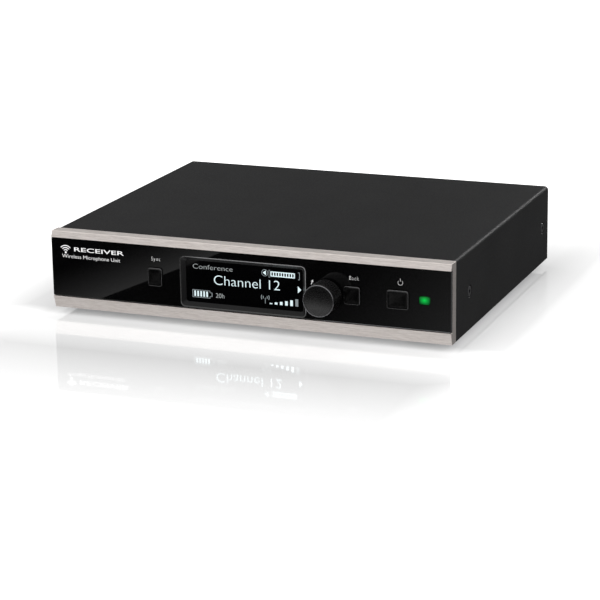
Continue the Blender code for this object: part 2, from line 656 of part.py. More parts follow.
def catmull_rom(points, spacing):
    """Smooth curve through points, read about every spacing along it."""
    padded = [points[0] * 2 - points[1]] + points + [points[-1] * 2 - points[-2]]
    route = []
    for a, b, c, d in zip(padded, padded[1:], padded[2:], padded[3:]):
        count = max(1, round((c - b).length / spacing))
        for i in range(count):
            t = i / count
            route.append(0.5 * (2 * b + (c - a) * t + (2 * a - 5 * b + 4 * c - d) * t ** 2
                                + (3 * b - a - 3 * c + d) * t ** 3))
    return route + [points[-1]]


def make_coax(name, points):
    route = catmull_rom([Vector(p) for p in points], 0.005)
    curve = bpy.data.curves.new(name, 'CURVE')
    curve.dimensions = '3D'
    curve.bevel_depth = 0.0012
    curve.bevel_resolution = 2
    curve.use_fill_caps = True
    spline = curve.splines.new('POLY')
    spline.points.add(len(route) - 1)
    for point, place in zip(spline.points, route):
        point.co = (*place, 1.0)
    return finish(new_object(name, curve), COAX_JACKET)


def make_coax_pair():
    tail = REAR_INNER_Y - GAP - 0.0100 - GAP
    can_right = CAN_BOX[0][1] + GAP
    can_rear = CAN_BOX[1][1] + GAP
    make_coax("coax_left", [
        (-ANTENNA_X, tail, SOCKET_Z), (-ANTENNA_X, tail - 0.010, SOCKET_Z), (-0.076, 0.053, 0.0225),
        (-0.060, 0.052, 0.0205), (-0.0555, can_rear + 0.003, 0.0200), (-0.0555, can_rear, 0.0200)])
    make_coax("coax_right", [
        (ANTENNA_X, tail, SOCKET_Z), (ANTENNA_X, tail - 0.010, SOCKET_Z), (0.076, 0.044, 0.0270),
        (0.056, 0.032, 0.0285), (0.024, 0.028, 0.0260), (0.000, 0.026, 0.0210),
        (can_right + 0.004, 0.026, 0.0190), (can_right, 0.026, 0.0190)])


def make_xlr():
    """Three-pin male output: a flanged shell with the pins down inside it."""
    flange_depths = (REAR_FACE_Y + GAP, REAR_FACE_Y + GAP + 0.0020)
    shell = extruded(
        "xlr_shell", [rounded_rectangle((XLR_X, SOCKET_Z), XLR_FLANGE, 0.0025)], flange_depths, 'Y')
    cup_front = 0.0700
    cup_length = flange_depths[1] - 0.0005 - cup_front
    join(shell, rods("cup", [(XLR_X, cup_front, SOCKET_Z)], 0.0113, BACKWARD, cup_length, 32))
    cut(shell, rods("cup_bore", [(XLR_X, cup_front - 0.001, SOCKET_Z)], 0.0098, BACKWARD, 0.030, 32))
    holes = []
    for side in (-1, 1):
        holes.append((XLR_X + side * XLR_SCREW[0], REAR_FACE_Y - 0.001, SOCKET_Z + side * XLR_SCREW[1]))
    cut(shell, rods("flange_holes", holes, 0.0018, BACKWARD, 0.006, 16))
    finish(shell, NICKEL)
    insert = rods("xlr_insert", [(XLR_X, cup_front + GAP, SOCKET_Z)], 0.0095, BACKWARD, 0.0030, 32)
    angles = [math.radians(a) for a in (30, 150, 270)]
    pins = [(XLR_X + 0.0050 * math.cos(a), cup_front - 0.0030, SOCKET_Z + 0.0050 * math.sin(a)) for a in angles]
    join(insert, rods("pins", pins, 0.0012, BACKWARD, 0.0165, 16))
    finish(insert, SATIN_BLACK)


def make_jack():
    """6.3 mm socket: a moulded body behind the panel, its threaded bush through it."""
    body_rear = REAR_INNER_Y - GAP
    body = centred_box("jack_body", (JACK_X, body_rear - 0.0105, SOCKET_Z), (0.0160, 0.0210, 0.0160))
    join(body, rods("jack_bush", [(JACK_X, body_rear - 0.001, SOCKET_Z)], 0.0051, BACKWARD, 0.0068))
    cut(body, rods("jack_bore", [(JACK_X, body_rear + 0.010, SOCKET_Z)], 0.0032, FORWARD, 0.0280))
    finish(body, SATIN_BLACK)
    nut = rods("jack_nut", [(0, 0, 0)], 0.0078, BACKWARD, 0.0024, 6)
    nut.location = (JACK_X, REAR_FACE_Y + GAP, SOCKET_Z)
    cut(nut, rods("jack_nut_bore", [(JACK_X, REAR_FACE_Y - 0.001, SOCKET_Z)], 0.0054, BACKWARD, 0.006))
    finish(nut, NICKEL)


def make_ethernet_port():
    port = centred_box("ethernet_port", (ETHERNET_X, 0.0755, 0.02225), (0.0160, 0.0190, 0.0135))
    cut(port, centred_box("plug_space", (ETHERNET_X, 0.0795, 0.0218), (0.0118, 0.0140, 0.0080)))
    cut(port, centred_box("latch_space", (ETHERNET_X, 0.0795, 0.0266), (0.0064, 0.0140, 0.0020)))
    return finish(port, TIN)


def make_dc_socket():
    socket = centred_box("dc_socket", (DC_X, 0.0780, 0.0210), (0.0090, 0.0140, 0.0110))
    outer = turned(
        "barrel_space", [(0.0029, 0.012), (0.0029, 0.0), (0.0009, 0.0), (0.0009, 0.012)],
        (DC_X, 0.0752, 0.0212), BACKWARD, 20)
    cut(socket, outer)
    return finish(socket, SATIN_BLACK)


def make_cable_hook():
    """Strain relief: the supply lead hooks behind the finger below its arm."""
    face = REAR_FACE_Y + GAP
    plate_rear = face + 0.0020
    tip = face + 0.0090
    outline = [
        (face, 0.0140), (plate_rear, 0.0140), (plate_rear, 0.0285), (tip - 0.0020, 0.0285),
        (tip - 0.0020, 0.0190), (tip, 0.0190), (tip, 0.0310), (tip - 0.0010, 0.0320), (face, 0.0320)]
    hook = extruded("cable_hook", [outline], (HOOK_X - 0.0045, HOOK_X + 0.0045), 'X')
    pegs = [(HOOK_X, REAR_INNER_Y - 0.002, z) for z in (0.0170, 0.0290)]
    join(hook, rods("pegs", pegs, 0.0015, BACKWARD, 0.005, 12))
    return finish(hook, SATIN_BLACK)


def screw_mesh(name, head_radius, head_height, shank_radius, shank_length, sunk=False):
    """Screw along local Z, head face up at the top, seat under the head at z = 0."""
    if sunk:
        profile = [(0.0, head_height), (head_radius, head_height), (head_radius, head_height - 0.0002)]
        profile += [(shank_radius, 0.0)]
    else:
        profile = [(0.0, head_height), (head_radius - 0.0006, head_height), (head_radius, head_height - 0.0006)]
        profile += [(head_radius, 0.0), (shank_radius, 0.0)]
    profile += [(shank_radius, -shank_length), (0.0, -shank_length)]
    screw = turned(name, profile, (0, 0, 0), UPWARD, 16)
    socket = rods(name + "_drive", [(0, 0, head_height + 0.001)], 0.0011, DOWNWARD, 0.0020, 6)
    cut(screw, socket)
    bake(screw)
    bpy.data.objects.remove(socket)
    mesh = screw.data
    bpy.data.objects.remove(screw)
    mesh.materials.append(BLACK_ZINC)
    return mesh


def place_all(prefix, mesh, places):
    for number, (place, direction) in enumerate(places, start=1):
        item = new_object(f"{prefix}_{number}", mesh)
        item.matrix_world = Matrix.Translation(place) @ direction


def make_screws():
    sides = ((1, RIGHTWARD), (-1, LEFTWARD))
    sunk = screw_mesh("cover_screw_mesh", 0.0026, 0.0012, 0.0015, 0.0045, sunk=True)
    seat = HALF - COVER_SHEET - 0.0001
    cover_places = [((side * seat, y, SIDE_SCREW_Z), way) for side, way in sides for y in SIDE_SCREW_Y]
    place_all("cover_screw", sunk, cover_places)
    pan = screw_mesh("pan_screw_mesh", 0.0027, 0.0017, 0.0015, 0.0055)
    rear = REAR_FACE_Y + GAP
    place_all("rear_screw", pan, [
        ((s * REAR_SCREW_X, rear, z), BACKWARD) for s in (-1, 1) for z in REAR_SCREW_Z])
    flange = rear + 0.0020 + GAP
    place_all("xlr_screw", pan, [
        ((XLR_X + s * XLR_SCREW[0], flange, SOCKET_Z + s * XLR_SCREW[1]), BACKWARD) for s in (-1, 1)])
    lip = TRAY_FRONT + TRAY_SHEET + GAP
    place_all("frame_screw", pan, [((s * FRAME_SCREW_X, lip, FRAME_SCREW_Z), BACKWARD) for s in (-1, 1)])
    small = screw_mesh("board_screw_mesh", 0.0027, 0.0015, 0.0012, 0.0060)
    place_all("board_screw", small, [
        ((s * BOARD_SCREW_X, y, MAIN_BOARD_Z[1] + GAP), UPWARD) for s in (-1, 1) for y in BOARD_SCREW_Y])


def make_feet():
    height = BASE_Z - GAP
    profile = [(0.0, height + 0.0032), (0.0016, height + 0.0032), (0.0029, height + 0.0026)]
    profile += [(0.0029, height + 0.0022), (0.0019, height + 0.0022), (0.0019, height)]
    profile += [(FOOT_RADIUS, height), (FOOT_RADIUS - 0.0006, 0.0), (0.0, 0.0)]
    first = turned("foot_1", profile, (-FOOT_X, FOOT_Y[0], 0), UPWARD, 28)
    smooth(finish(bake(first), RUBBER))
    places = [(side * FOOT_X, y, 0) for side in (-1, 1) for y in FOOT_Y]
    for number, place in enumerate(places[1:], start=2):
        foot = new_object(f"foot_{number}", first.data)
        foot.location = place


def make_controls():
    for name, (x, z, width, height) in BUTTONS.items():
        make_button(name, x, z, width, height)
        make_switch(name, x, z)
    make_jog_dial()
    make_status_led()


def make_rear_sockets():
    for side, word in ((-1, "left"), (1, "right")):
        make_antenna_socket("antenna_socket_" + word, side * ANTENNA_X)
        make_antenna_nut("antenna_nut_" + word, side * ANTENNA_X)
    make_xlr()
    make_jack()
    make_ethernet_port()
    make_dc_socket()
    make_cable_hook()


def main():
    make_top_cover()
    make_base_tray()
    make_rear_panel()
    make_front_frame()
    make_front_panel()
    make_display()
    make_front_board()
    make_main_board()
    make_shield_can()
    make_controls()
    make_ribbon_cable()
    make_rear_sockets()
    make_coax_pair()
    make_screws()
    make_feet()


main()
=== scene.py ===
"""Looks of the half-rack wireless receiver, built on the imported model's frame."""

import json
import math

import bmesh
import bpy
from mathutils import Matrix, Vector

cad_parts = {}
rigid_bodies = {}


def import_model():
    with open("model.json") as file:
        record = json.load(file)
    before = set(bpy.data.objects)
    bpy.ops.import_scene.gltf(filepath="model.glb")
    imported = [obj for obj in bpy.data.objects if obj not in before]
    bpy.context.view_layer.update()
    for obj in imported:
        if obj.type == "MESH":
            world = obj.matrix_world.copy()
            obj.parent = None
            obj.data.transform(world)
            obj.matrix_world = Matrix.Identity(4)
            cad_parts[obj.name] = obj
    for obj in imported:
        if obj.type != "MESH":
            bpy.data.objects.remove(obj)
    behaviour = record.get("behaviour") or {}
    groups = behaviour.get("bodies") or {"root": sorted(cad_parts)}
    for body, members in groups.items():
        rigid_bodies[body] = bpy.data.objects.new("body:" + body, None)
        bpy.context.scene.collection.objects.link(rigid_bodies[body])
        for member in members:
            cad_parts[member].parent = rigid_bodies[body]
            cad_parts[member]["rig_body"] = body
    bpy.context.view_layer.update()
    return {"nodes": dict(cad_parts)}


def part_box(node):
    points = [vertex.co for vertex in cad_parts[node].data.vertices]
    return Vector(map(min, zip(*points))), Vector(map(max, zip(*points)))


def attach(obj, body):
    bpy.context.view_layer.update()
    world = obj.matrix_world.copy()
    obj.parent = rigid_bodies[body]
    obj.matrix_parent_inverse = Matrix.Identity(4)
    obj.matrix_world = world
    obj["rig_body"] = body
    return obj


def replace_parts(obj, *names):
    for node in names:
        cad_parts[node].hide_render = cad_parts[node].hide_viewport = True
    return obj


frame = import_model()
NODES = frame["nodes"]
MM = 0.001

FORWARD = Matrix.Rotation(math.pi / 2, 4, 'X')
BACKWARD = Matrix.Rotation(-math.pi / 2, 4, 'X')
RIGHTWARD = Matrix.Rotation(math.pi / 2, 4, 'Y')
LEFTWARD = Matrix.Rotation(-math.pi / 2, 4, 'Y')


def middle_of(name):
    low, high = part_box(name)
    return (low + high) / 2


# ---------------------------------------------------------------- materials


def link(made, source, target):
    made.node_tree.links.new(source, target)


def feed(made, target, value):
    """Link a node's output to a socket, or set the socket to a plain value."""
    if isinstance(value, bpy.types.NodeSocket):
        link(made, value, target)
    else:
        target.default_value = value


def shade(made, **values):
    """Feed sockets of the material's Principled shader, an underscore for each space in their names."""
    shader = made.node_tree.nodes["Principled BSDF"]
    for socket, value in values.items():
        feed(made, shader.inputs[socket.replace("_", " ")], value)
    return made


def material(name, **values):
    """New Principled material, its uniform values set straight on the shader's sockets."""
    made = bpy.data.materials.new(name)
    made.use_nodes = True
    return shade(made, **values)


def emptied(made):
    """Material or world with its node tree switched on and cleared."""
    made.use_nodes = True
    made.node_tree.nodes.clear()
    return made


def node(made, kind, inputs=None, **settings):
    added = made.node_tree.nodes.new(kind)
    for key, value in settings.items():
        setattr(added, key, value)
    for key, value in (inputs or {}).items():
        feed(made, added.inputs[key], value)
    return added


def reckon(made, operation, *values):
    """Result of a math node on sockets or numbers."""
    return node(made, "ShaderNodeMath", dict(enumerate(values)), operation=operation).outputs[0]


def vector(made, operation, *values):
    """Result of a vector math node on sockets or vectors, a number where the operation gives one."""
    step = node(made, "ShaderNodeVectorMath", dict(enumerate(values)), operation=operation)
    return step.outputs["Value" if operation in ('LENGTH', 'DOT_PRODUCT') else "Vector"]


def object_place(made):
    return node(made, "ShaderNodeTexCoord").outputs["Object"]


def axes_of(made, source):
    """X, Y and Z outputs of a vector."""
    return node(made, "ShaderNodeSeparateXYZ", {"Vector": source}).outputs


def coordinates(made, scale):
    """Object coordinates, stretched by scale (repeats a metre along X, Y and Z)."""
    return node(made, "ShaderNodeMapping", {"Scale": scale, "Vector": object_place(made)}).outputs["Vector"]


def noise(made, scale, detail=3.0, roughness=0.5):
    """Noise whose grain is scale repeats a metre; one number or one for each axis."""
    if isinstance(scale, (int, float)):
        scale = (scale, scale, scale)
    inputs = {"Scale": 1.0, "Detail": detail, "Roughness": roughness, "Vector": coordinates(made, scale)}
    return node(made, "ShaderNodeTexNoise", inputs).outputs["Fac"]


def spread(made, factor, low, high, start=0.3, end=0.7):
    """Map a texture's factor onto a range of values."""
    inputs = {"Value": factor, "From Min": start, "From Max": end, "To Min": low, "To Max": high}
    return node(made, "ShaderNodeMapRange", inputs).outputs["Result"]


def colours(made, factor, *stops):
    """Colour ramp over a factor; stops are (position, (r, g, b))."""
    ramp = node(made, "ShaderNodeValToRGB", {"Fac": factor})
    elements = ramp.color_ramp.elements
    while len(elements) < len(stops):
        elements.new(0.5)
    for element, (position, colour) in zip(elements, stops):
        element.position = position
        element.color = (*colour, 1.0)
    return ramp.outputs["Color"]


def bump(made, height, strength, depth):
    """Bump from a height factor; depth in metres."""
    relief = node(made, "ShaderNodeBump", {"Strength": strength, "Distance": depth, "Height": height})
    shade(made, Normal=relief.outputs["Normal"])


def roughened(made, factor, low, high, start=0.3, end=0.7):
    shade(made, Roughness=spread(made, factor, low, high, start, end))


def tinted(made, factor, dark, light, start=0.3, end=0.7):
    shade(made, Base_Color=colours(made, factor, (start, dark), (end, light)))


def scaled(colour, amount):
    return tuple(channel * amount for channel in colour)


def grained(name, patches, dark, light, grain, polish, relief, **values):
    """Broad patches of tone, with a fine grain in the polish and the relief."""
    made = material(name, **values)
    tinted(made, noise(made, *patches), dark, light)
    fine = noise(made, *grain)
    roughened(made, fine, *polish)
    bump(made, fine, *relief)
    return made


def powder_coat():
    return grained(
        "powder_coat", (35.0, 4.0), (0.0078, 0.0078, 0.0081), (0.0098, 0.0098, 0.0100), (2600.0, 2.0),
        (0.40, 0.52), (0.30, 0.00005), Roughness=0.5, Specular_IOR_Level=0.03)


def brushed_aluminium():
    """Champagne aluminium, brushed along X, with long coarse streaks among the fine ones."""
    made = material("brushed_champagne", Metallic=1.0, Anisotropic=0.35)
    streaks = noise(made, (130.0, 1500.0, 1700.0), 5.0, 0.80)
    tinted(made, streaks, (0.60, 0.545, 0.512), (0.86, 0.805, 0.77), 0.34, 0.66)
    roughened(made, streaks, 0.34, 0.50)
    bump(made, streaks, 0.25, 0.00004)
    return made


def gloss_black():
    made = material("gloss_black", Specular_IOR_Level=0.45)
    depth = noise(made, 12.0, 2.0)
    tinted(made, depth, (0.0008, 0.0008, 0.0009), (0.0014, 0.0014, 0.0015))
    dust = noise(made, 900.0, 5.0, 0.7)
    roughened(made, dust, 0.008, 0.030, 0.45, 0.75)
    bump(made, noise(made, 45.0, 1.0), 0.004, 0.0002)
    return made


def satin_black(name, tone, low, high, shine=0.5):
    dark, light = (scaled((1, 1, 1.03), tone * share) for share in (0.85, 1.15))
    return grained(
        name, (60.0,), dark, light, (3200.0, 2.0), (low, high), (0.25, 0.00004), Specular_IOR_Level=shine)


def smoked_glass():
    made = material("smoked_glass", Roughness=0.03, Specular_IOR_Level=0.25)
    smear = noise(made, (30.0, 30.0, 90.0), 4.0, 0.6)
    tinted(made, smear, (0.0004, 0.0004, 0.0005), (0.0008, 0.0008, 0.0010))
    roughened(made, smear, 0.02, 0.06)
    return made


PIXEL_PITCH, PIXEL_GAP = 0.00024, 0.16


def lit_pixels(name, colour, strength):
    """Glowing display picture, broken into the display's own square pixels."""
    made = material(
        name, Base_Color=(0.02, 0.02, 0.02, 1.0), Roughness=0.3, Emission_Color=(*colour, 1.0))
    place = axes_of(made, object_place(made))
    cells = [reckon(made, 'FRACT', reckon(made, 'DIVIDE', place[axis], PIXEL_PITCH)) for axis in ("X", "Z")]
    across, up = (reckon(made, 'GREATER_THAN', cell, PIXEL_GAP) for cell in cells)
    glow = spread(made, reckon(made, 'MULTIPLY', across, up), strength * 0.45, strength, 0.0, 1.0)
    return shade(made, Emission_Strength=glow)


def printed_white(name="printed_white", tone=0.72, glow=0.0):
    """Screen-printed ink, a little uneven; a glow, where one is given, is painted light that brightens the
    ink.
    """
    made = material(name, Roughness=0.5)
    tinted(made, noise(made, 1500.0, 3.0), scaled((1, 1, 1), tone * 0.86), scaled((1, 1, 1), tone))
    roughened(made, noise(made, 700.0), 0.42, 0.60)
    if glow:
        shade(made, Emission_Color=(1, 1, 1, 1), Emission_Strength=glow)
    return made


def green_lens():
    """Translucent light pipe, brightest over the lamp behind its middle."""
    made = material("green_lens", Roughness=0.22, Specular_IOR_Level=0.2)
    centre = middle_of("status_led")
    stretch = 1.3
    shift = node(made, "ShaderNodeMapping", {
        "Vector": object_place(made), "Location": (-centre.x, 0, -(centre.z + 0.0003) * stretch),
        "Scale": (1.0, 0.0, stretch)})
    falloff = spread(made, vector(made, 'LENGTH', shift.outputs["Vector"]), 1.0, 0.0, 0.0003, 0.0036)
    tint = colours(
        made, falloff, (0.0, (0.0, 0.10, 0.012)), (0.55, (0.0, 0.40, 0.045)), (1.0, (0.0, 0.66, 0.07)))
    tinted(made, noise(made, 400.0), (0.0, 0.030, 0.006), (0.0, 0.045, 0.010))
    return shade(made, Emission_Color=tint, Emission_Strength=spread(made, falloff, 0.10, 0.85, 0.05, 1.0))


def plated(name, tone, low, high, grain, metallic=1.0):
    """Plated or bare metal with fine scuffs and uneven polish."""
    made = material(name, Metallic=metallic)
    scuffs = noise(made, grain, 5.0, 0.65)
    tinted(made, scuffs, scaled(tone, 0.90), tone)
    roughened(made, noise(made, grain * 0.8, 4.0), low, high)
    bump(made, scuffs, 0.15, 0.00002)
    return made


def zinc_sheet():
    """Zinc-plated sheet with faint crystalline spangle."""
    made = material("zinc_sheet", Metallic=1.0)
    inputs = {"Scale": 1.0, "Vector": coordinates(made, (160.0, 160.0, 160.0))}
    cells = node(made, "ShaderNodeTexVoronoi", inputs)
    grey = node(made, "ShaderNodeRGBToBW", {"Color": cells.outputs["Color"]}).outputs["Val"]
    tinted(made, grey, (0.42, 0.43, 0.45), (0.58, 0.59, 0.61), 0.0, 1.0)
    roughened(made, grey, 0.34, 0.50, 0.0, 1.0)
    bump(made, noise(made, 800.0, 3.0), 0.1, 0.00002)
    return made


def rubber():
    return grained(
        "rubber", (240.0, 5.0), (0.012, 0.012, 0.012), (0.026, 0.026, 0.026), (2200.0, 3.0), (0.72, 0.92),
        (0.4, 0.00008), Specular_IOR_Level=0.3)


def circuit_board():
    """Solder mask over copper tracks."""
    made = material("circuit_board", Roughness=0.35)
    tracks = node(made, "ShaderNodeTexBrick", {
        "Scale": 1.0, "Mortar Size": 0.06, "Color1": (0.010, 0.095, 0.040, 1),
        "Color2": (0.012, 0.115, 0.048, 1), "Mortar": (0.030, 0.210, 0.080, 1),
        "Vector": coordinates(made, (260.0, 420.0, 420.0))})
    shade(made, Base_Color=tracks.outputs["Color"])
    roughened(made, noise(made, 500.0), 0.28, 0.45)
    bump(made, tracks.outputs["Fac"], 0.2, 0.00003)
    return made


def ribbed_cable(name, dark, light, scale):
    """Cable jacket or flat ribbon with its conductors showing as ridges."""
    made = material(name)
    inputs = {"Scale": scale, "Distortion": 0.3, "Vector": coordinates(made, (1, 1, 1))}
    wave = node(made, "ShaderNodeTexWave", inputs, wave_type='BANDS', bands_direction='X')
    ridges = wave.outputs["Fac"]
    tinted(made, ridges, dark, light, 0.1, 0.9)
    roughened(made, noise(made, 600.0), 0.42, 0.60)
    bump(made, ridges, 0.4, 0.0002)
    return made


def moulded(name, dark, light, low=0.4, high=0.55):
    return grained(
        name, (120.0, 4.0), dark, light, (1800.0, 2.0), (low, high), (0.2, 0.00005), Specular_IOR_Level=0.45)


POWDER = powder_coat()
CHAMPAGNE = brushed_aluminium()
GLOSS = gloss_black()
KEY_BLACK = satin_black("key_black", 0.0012, 0.05, 0.09, 0.45)
# the keys' rounded edges are painted far lighter than their faces: a painted highlight
KEY_EDGE_HIGHLIGHT = satin_black("key_edge_painted_highlight", 0.030, 0.20, 0.30, 0.9)
KNOB_BLACK = satin_black("knob_black", 0.0020, 0.22, 0.30, 0.55)
RECESS_BLACK = satin_black("recess_black", 0.006, 0.20, 0.28, 0.16)
SATIN = satin_black("satin_black", 0.016, 0.40, 0.52)
GLASS = smoked_glass()
NICKEL = plated("nickel", (0.66, 0.64, 0.60), 0.18, 0.28, 1800.0)
SATIN_NICKEL = plated("satin_nickel", (0.50, 0.49, 0.47), 0.30, 0.38, 2600.0)
RIM = plated("knob_rim", (0.24, 0.24, 0.25), 0.18, 0.30, 1600.0)
TIN = plated("tin", (0.60, 0.61, 0.63), 0.26, 0.42, 500.0)
BLACK_ZINC = plated("black_zinc", (0.045, 0.045, 0.048), 0.28, 0.46, 1500.0, 0.9)
STEEL = zinc_sheet()
RUBBER = rubber()
BOARD = circuit_board()
LENS = green_lens()
# the front ink glows a little: painted light that brightens it
INK = printed_white(glow=0.12)
REAR_INK = printed_white("rear_ink", 0.62)
PIXELS = lit_pixels("lit_pixels", (0.80, 0.97, 1.0), 1.15)
DIM_PIXELS = lit_pixels("dim_pixels", (0.62, 0.72, 0.75), 0.42)
DIM_TEXT = lit_pixels("dim_text", (0.74, 0.80, 0.80), 0.60)
RIBBON = ribbed_cable("ribbon", (0.26, 0.27, 0.28), (0.42, 0.43, 0.44), 240.0)
COAX = ribbed_cable("coax", (0.020, 0.018, 0.016), (0.036, 0.033, 0.030), 90.0)
CREAM = moulded("cream_plastic", (0.58, 0.54, 0.43), (0.68, 0.64, 0.54))
INSULATOR = moulded("white_insulator", (0.70, 0.69, 0.66), (0.78, 0.77, 0.74))
GREEN_PIPE = moulded("green_pipe", (0.05, 0.26, 0.08), (0.07, 0.32, 0.10), 0.16, 0.24)
AMBER_PIPE = moulded("amber_pipe", (0.50, 0.26, 0.03), (0.58, 0.31, 0.04), 0.16, 0.24)
GOLD = plated("gold_contacts", (0.80, 0.58, 0.25), 0.20, 0.32, 1200.0)

FEET = [name for name in NODES if name.startswith("foot")]
NODE_LOOKS = (
    (POWDER, ["top_cover", "rear_panel"]),
    (STEEL, ["base_tray"]),
    (CHAMPAGNE, ["front_frame"]),
    (GLOSS, ["front_panel"]),
    (GLASS, ["display_window", "display_module"]),
    (SATIN, ["display_holder", "pair_switch", "esc_switch", "power_switch", "xlr_insert", "jack_body",
             "dc_socket", "cable_hook"]),
    (BOARD, ["front_board", "main_board"]),
    (TIN, ["shield_can", "encoder_body", "ethernet_port"]),
    (NICKEL, ["encoder_shaft", "antenna_socket_left", "antenna_socket_right", "antenna_nut_left",
              "antenna_nut_right", "xlr_shell", "jack_nut"]),
    (KEY_BLACK, ["pair_button", "esc_button", "power_button"]),
    (KNOB_BLACK, ["jog_knob"]),
    (LENS, ["status_led"]),
    (RIBBON, ["ribbon_cable"]),
    (COAX, ["coax_left", "coax_right"]),
    (CREAM, ["encoder_plunger"]),
    (BLACK_ZINC, [name for name in NODES if "screw" in name]),
    (RUBBER, FEET),
)


def coat(mesh, paint):
    mesh.materials.clear()
    mesh.materials.append(paint)


def paint_nodes():
    for paint, names in NODE_LOOKS:
        for name in names:
            coat(NODES[name].data, paint)


# ---------------------------------------------------------------- shapes


def placed(name, data):
    """New object in the scene."""
    item = bpy.data.objects.new(name, data)
    bpy.context.scene.collection.objects.link(item)
    return item


def add(name, mesh, paint, body="housing"):
    item = placed(name, mesh)
    coat(mesh, paint)
    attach(item, body)
    return item


def mesh_from(name, shape):
    mesh = bpy.data.meshes.new(name)
    shape.to_mesh(mesh)
    shape.free()
    return mesh


def smooth(mesh, angle):
    mesh.shade_smooth()
    mesh.set_sharp_from_angle(angle=math.radians(angle))
    return mesh


def loft_into(shape, rings, place, closed=True):
    """Skin rings of equal count into a shape; the end rings are capped unless it stays open."""
    made = [[shape.verts.new(place @ Vector(point)) for point in ring] for ring in rings]
    for first, second in zip(made, made[1:]):
        count = len(first)
        for i in range(count):
            j = (i + 1) % count
            shape.faces.new((first[i], first[j], second[j], second[i]))
    if closed:
        shape.faces.new(made[0])
        shape.faces.new(made[-1])


def loft(name, rings, place, angle=35, closed=True):
    shape = bmesh.new()
    loft_into(shape, rings, place, closed)
    bmesh.ops.remove_doubles(shape, verts=shape.verts, dist=0.0000001)
    bmesh.ops.recalc_face_normals(shape, faces=shape.faces)
    return smooth(mesh_from(name, shape), angle)


def joined(name, lofts, angle=35):
    """Mesh of several solids, each given as its rings and its place."""
    shape = bmesh.new()
    for rings, place in lofts:
        loft_into(shape, rings, place)
    bmesh.ops.recalc_face_normals(shape, faces=shape.faces)
    return smooth(mesh_from(name, shape), angle)


def circle(radius, height, count):
    turns = [2 * math.pi * i / count for i in range(count)]
    return [(radius * math.cos(a), radius * math.sin(a), height) for a in turns]


def hexagon(apothem, height, count, turn=0.0):
    """Hexagon sampled all round, so that it lofts to a circle."""
    ring = []
    for i in range(count):
        angle = 2 * math.pi * i / count
        sector = (angle + turn) % (math.pi / 3) - math.pi / 6
        radius = apothem / math.cos(sector)
        ring.append((radius * math.cos(angle), radius * math.sin(angle), height))
    return ring


def lathe_rings(profile, count):
    return [circle(max(radius, 0.00002), height, count) for radius, height in profile]


def turned(name, profile, place, paint, count, angle, body="housing"):
    """Solid piece turned from a profile of (radius, height) points."""
    return add(name, loft(name, lathe_rings(profile, count), place, angle), paint, body)


def hoop(name, profile, place, paint, count, angle=35, body="housing"):
    """Ring turned from a profile that closes on itself."""
    rings = lathe_rings(profile + profile[:1], count)
    return add(name, loft(name, rings, place, angle, False), paint, body)


def rounded(width, height, radius, depth, steps=6):
    """Rounded rectangle in X and Z, at a depth along Y."""
    ring = []
    half_x, half_z = width / 2 - radius, height / 2 - radius
    corners = ((half_x, half_z, 0), (-half_x, half_z, 90), (-half_x, -half_z, 180), (half_x, -half_z, 270))
    for dx, dz, start in corners:
        for i in range(steps + 1):
            angle = math.radians(start + 90 * i / steps)
            ring.append((dx + radius * math.cos(angle), depth, dz + radius * math.sin(angle)))
    return ring


CREASE = 30


def refined(name, width, segments, paint=None, chosen=None):
    """Copy of a CAD node with clean faces and fine rounded edges, all or chosen, which takes its place."""
    source = NODES[name]
    shape = bmesh.new()
    shape.from_mesh(source.data)
    bmesh.ops.remove_doubles(shape, verts=shape.verts, dist=0.000002)
    bmesh.ops.dissolve_limit(
        shape, angle_limit=math.radians(0.8), verts=shape.verts, edges=shape.edges, delimit={'NORMAL'})
    if chosen:
        weights = shape.edges.layers.float.new("bevel_weight_edge")
        for line in shape.edges:
            sharp = len(line.link_faces) == 2 and line.calc_face_angle() > math.radians(CREASE)
            line[weights] = float(sharp and chosen(line.verts[0].co, line.verts[1].co))
    mesh = mesh_from(name + "_shape", shape)
    smooth(mesh, CREASE)
    item = add(name + "_shape", mesh, paint or source.data.materials[0], body=source["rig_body"])
    edge = item.modifiers.new("edge", 'BEVEL')
    edge.width = width
    edge.segments = segments
    edge.limit_method = 'WEIGHT' if chosen else 'ANGLE'
    edge.angle_limit = math.radians(CREASE)
    edge.harden_normals = True
    edge.use_clamp_overlap = not chosen
    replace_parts(item, name)
    return item


def flat_text(name, words, place, width, paint, bold, height, facing=FORWARD, spacing=1.0):
    """Flat lettering, its lower left corner at place, scaled to a width and a capital height."""
    text = bpy.data.curves.new(name, 'FONT')
    text.body = words
    text.size = 1.0
    text.offset = bold
    text.space_character = spacing
    holder = placed(name, text)
    bpy.context.view_layer.update()
    mesh = bpy.data.meshes.new_from_object(holder.evaluated_get(bpy.context.evaluated_depsgraph_get()))
    bpy.data.objects.remove(holder)
    xs = [v.co.x for v in mesh.vertices]
    capital = 0.729
    scale_x, scale_y = width / (max(xs) - min(xs)), height / capital
    squeeze = Matrix.Diagonal((scale_x, scale_y, 1, 1)) @ Matrix.Translation((-min(xs), 0, 0))
    mesh.transform(Matrix.Translation(place) @ facing @ squeeze)
    return add(name, mesh, paint)


def flat_shapes(name, outlines, y, paint):
    """Flat filled outlines of (x, z) points, facing the front."""
    shape = bmesh.new()
    for outline in outlines:
        face = shape.faces.new([shape.verts.new((x, y, z)) for x, z in outline])
        face.normal_update()
        if face.normal.y > 0:
            face.normal_flip()
    return add(name, mesh_from(name, shape), paint)


def bar(x0, z0, x1, z1):
    return [(x0, z0), (x1, z0), (x1, z1), (x0, z1)]


def ring_band(centre, outer, inner, start, end, steps):
    """Outline of an arc-shaped band, angles in degrees."""
    angles = [math.radians(start + (end - start) * i / steps) for i in range(steps + 1)]
    out = [(centre[0] + outer * math.cos(a), centre[1] + outer * math.sin(a)) for a in angles]
    back = [(centre[0] + inner * math.cos(a), centre[1] + inner * math.sin(a)) for a in reversed(angles)]
    return out + back


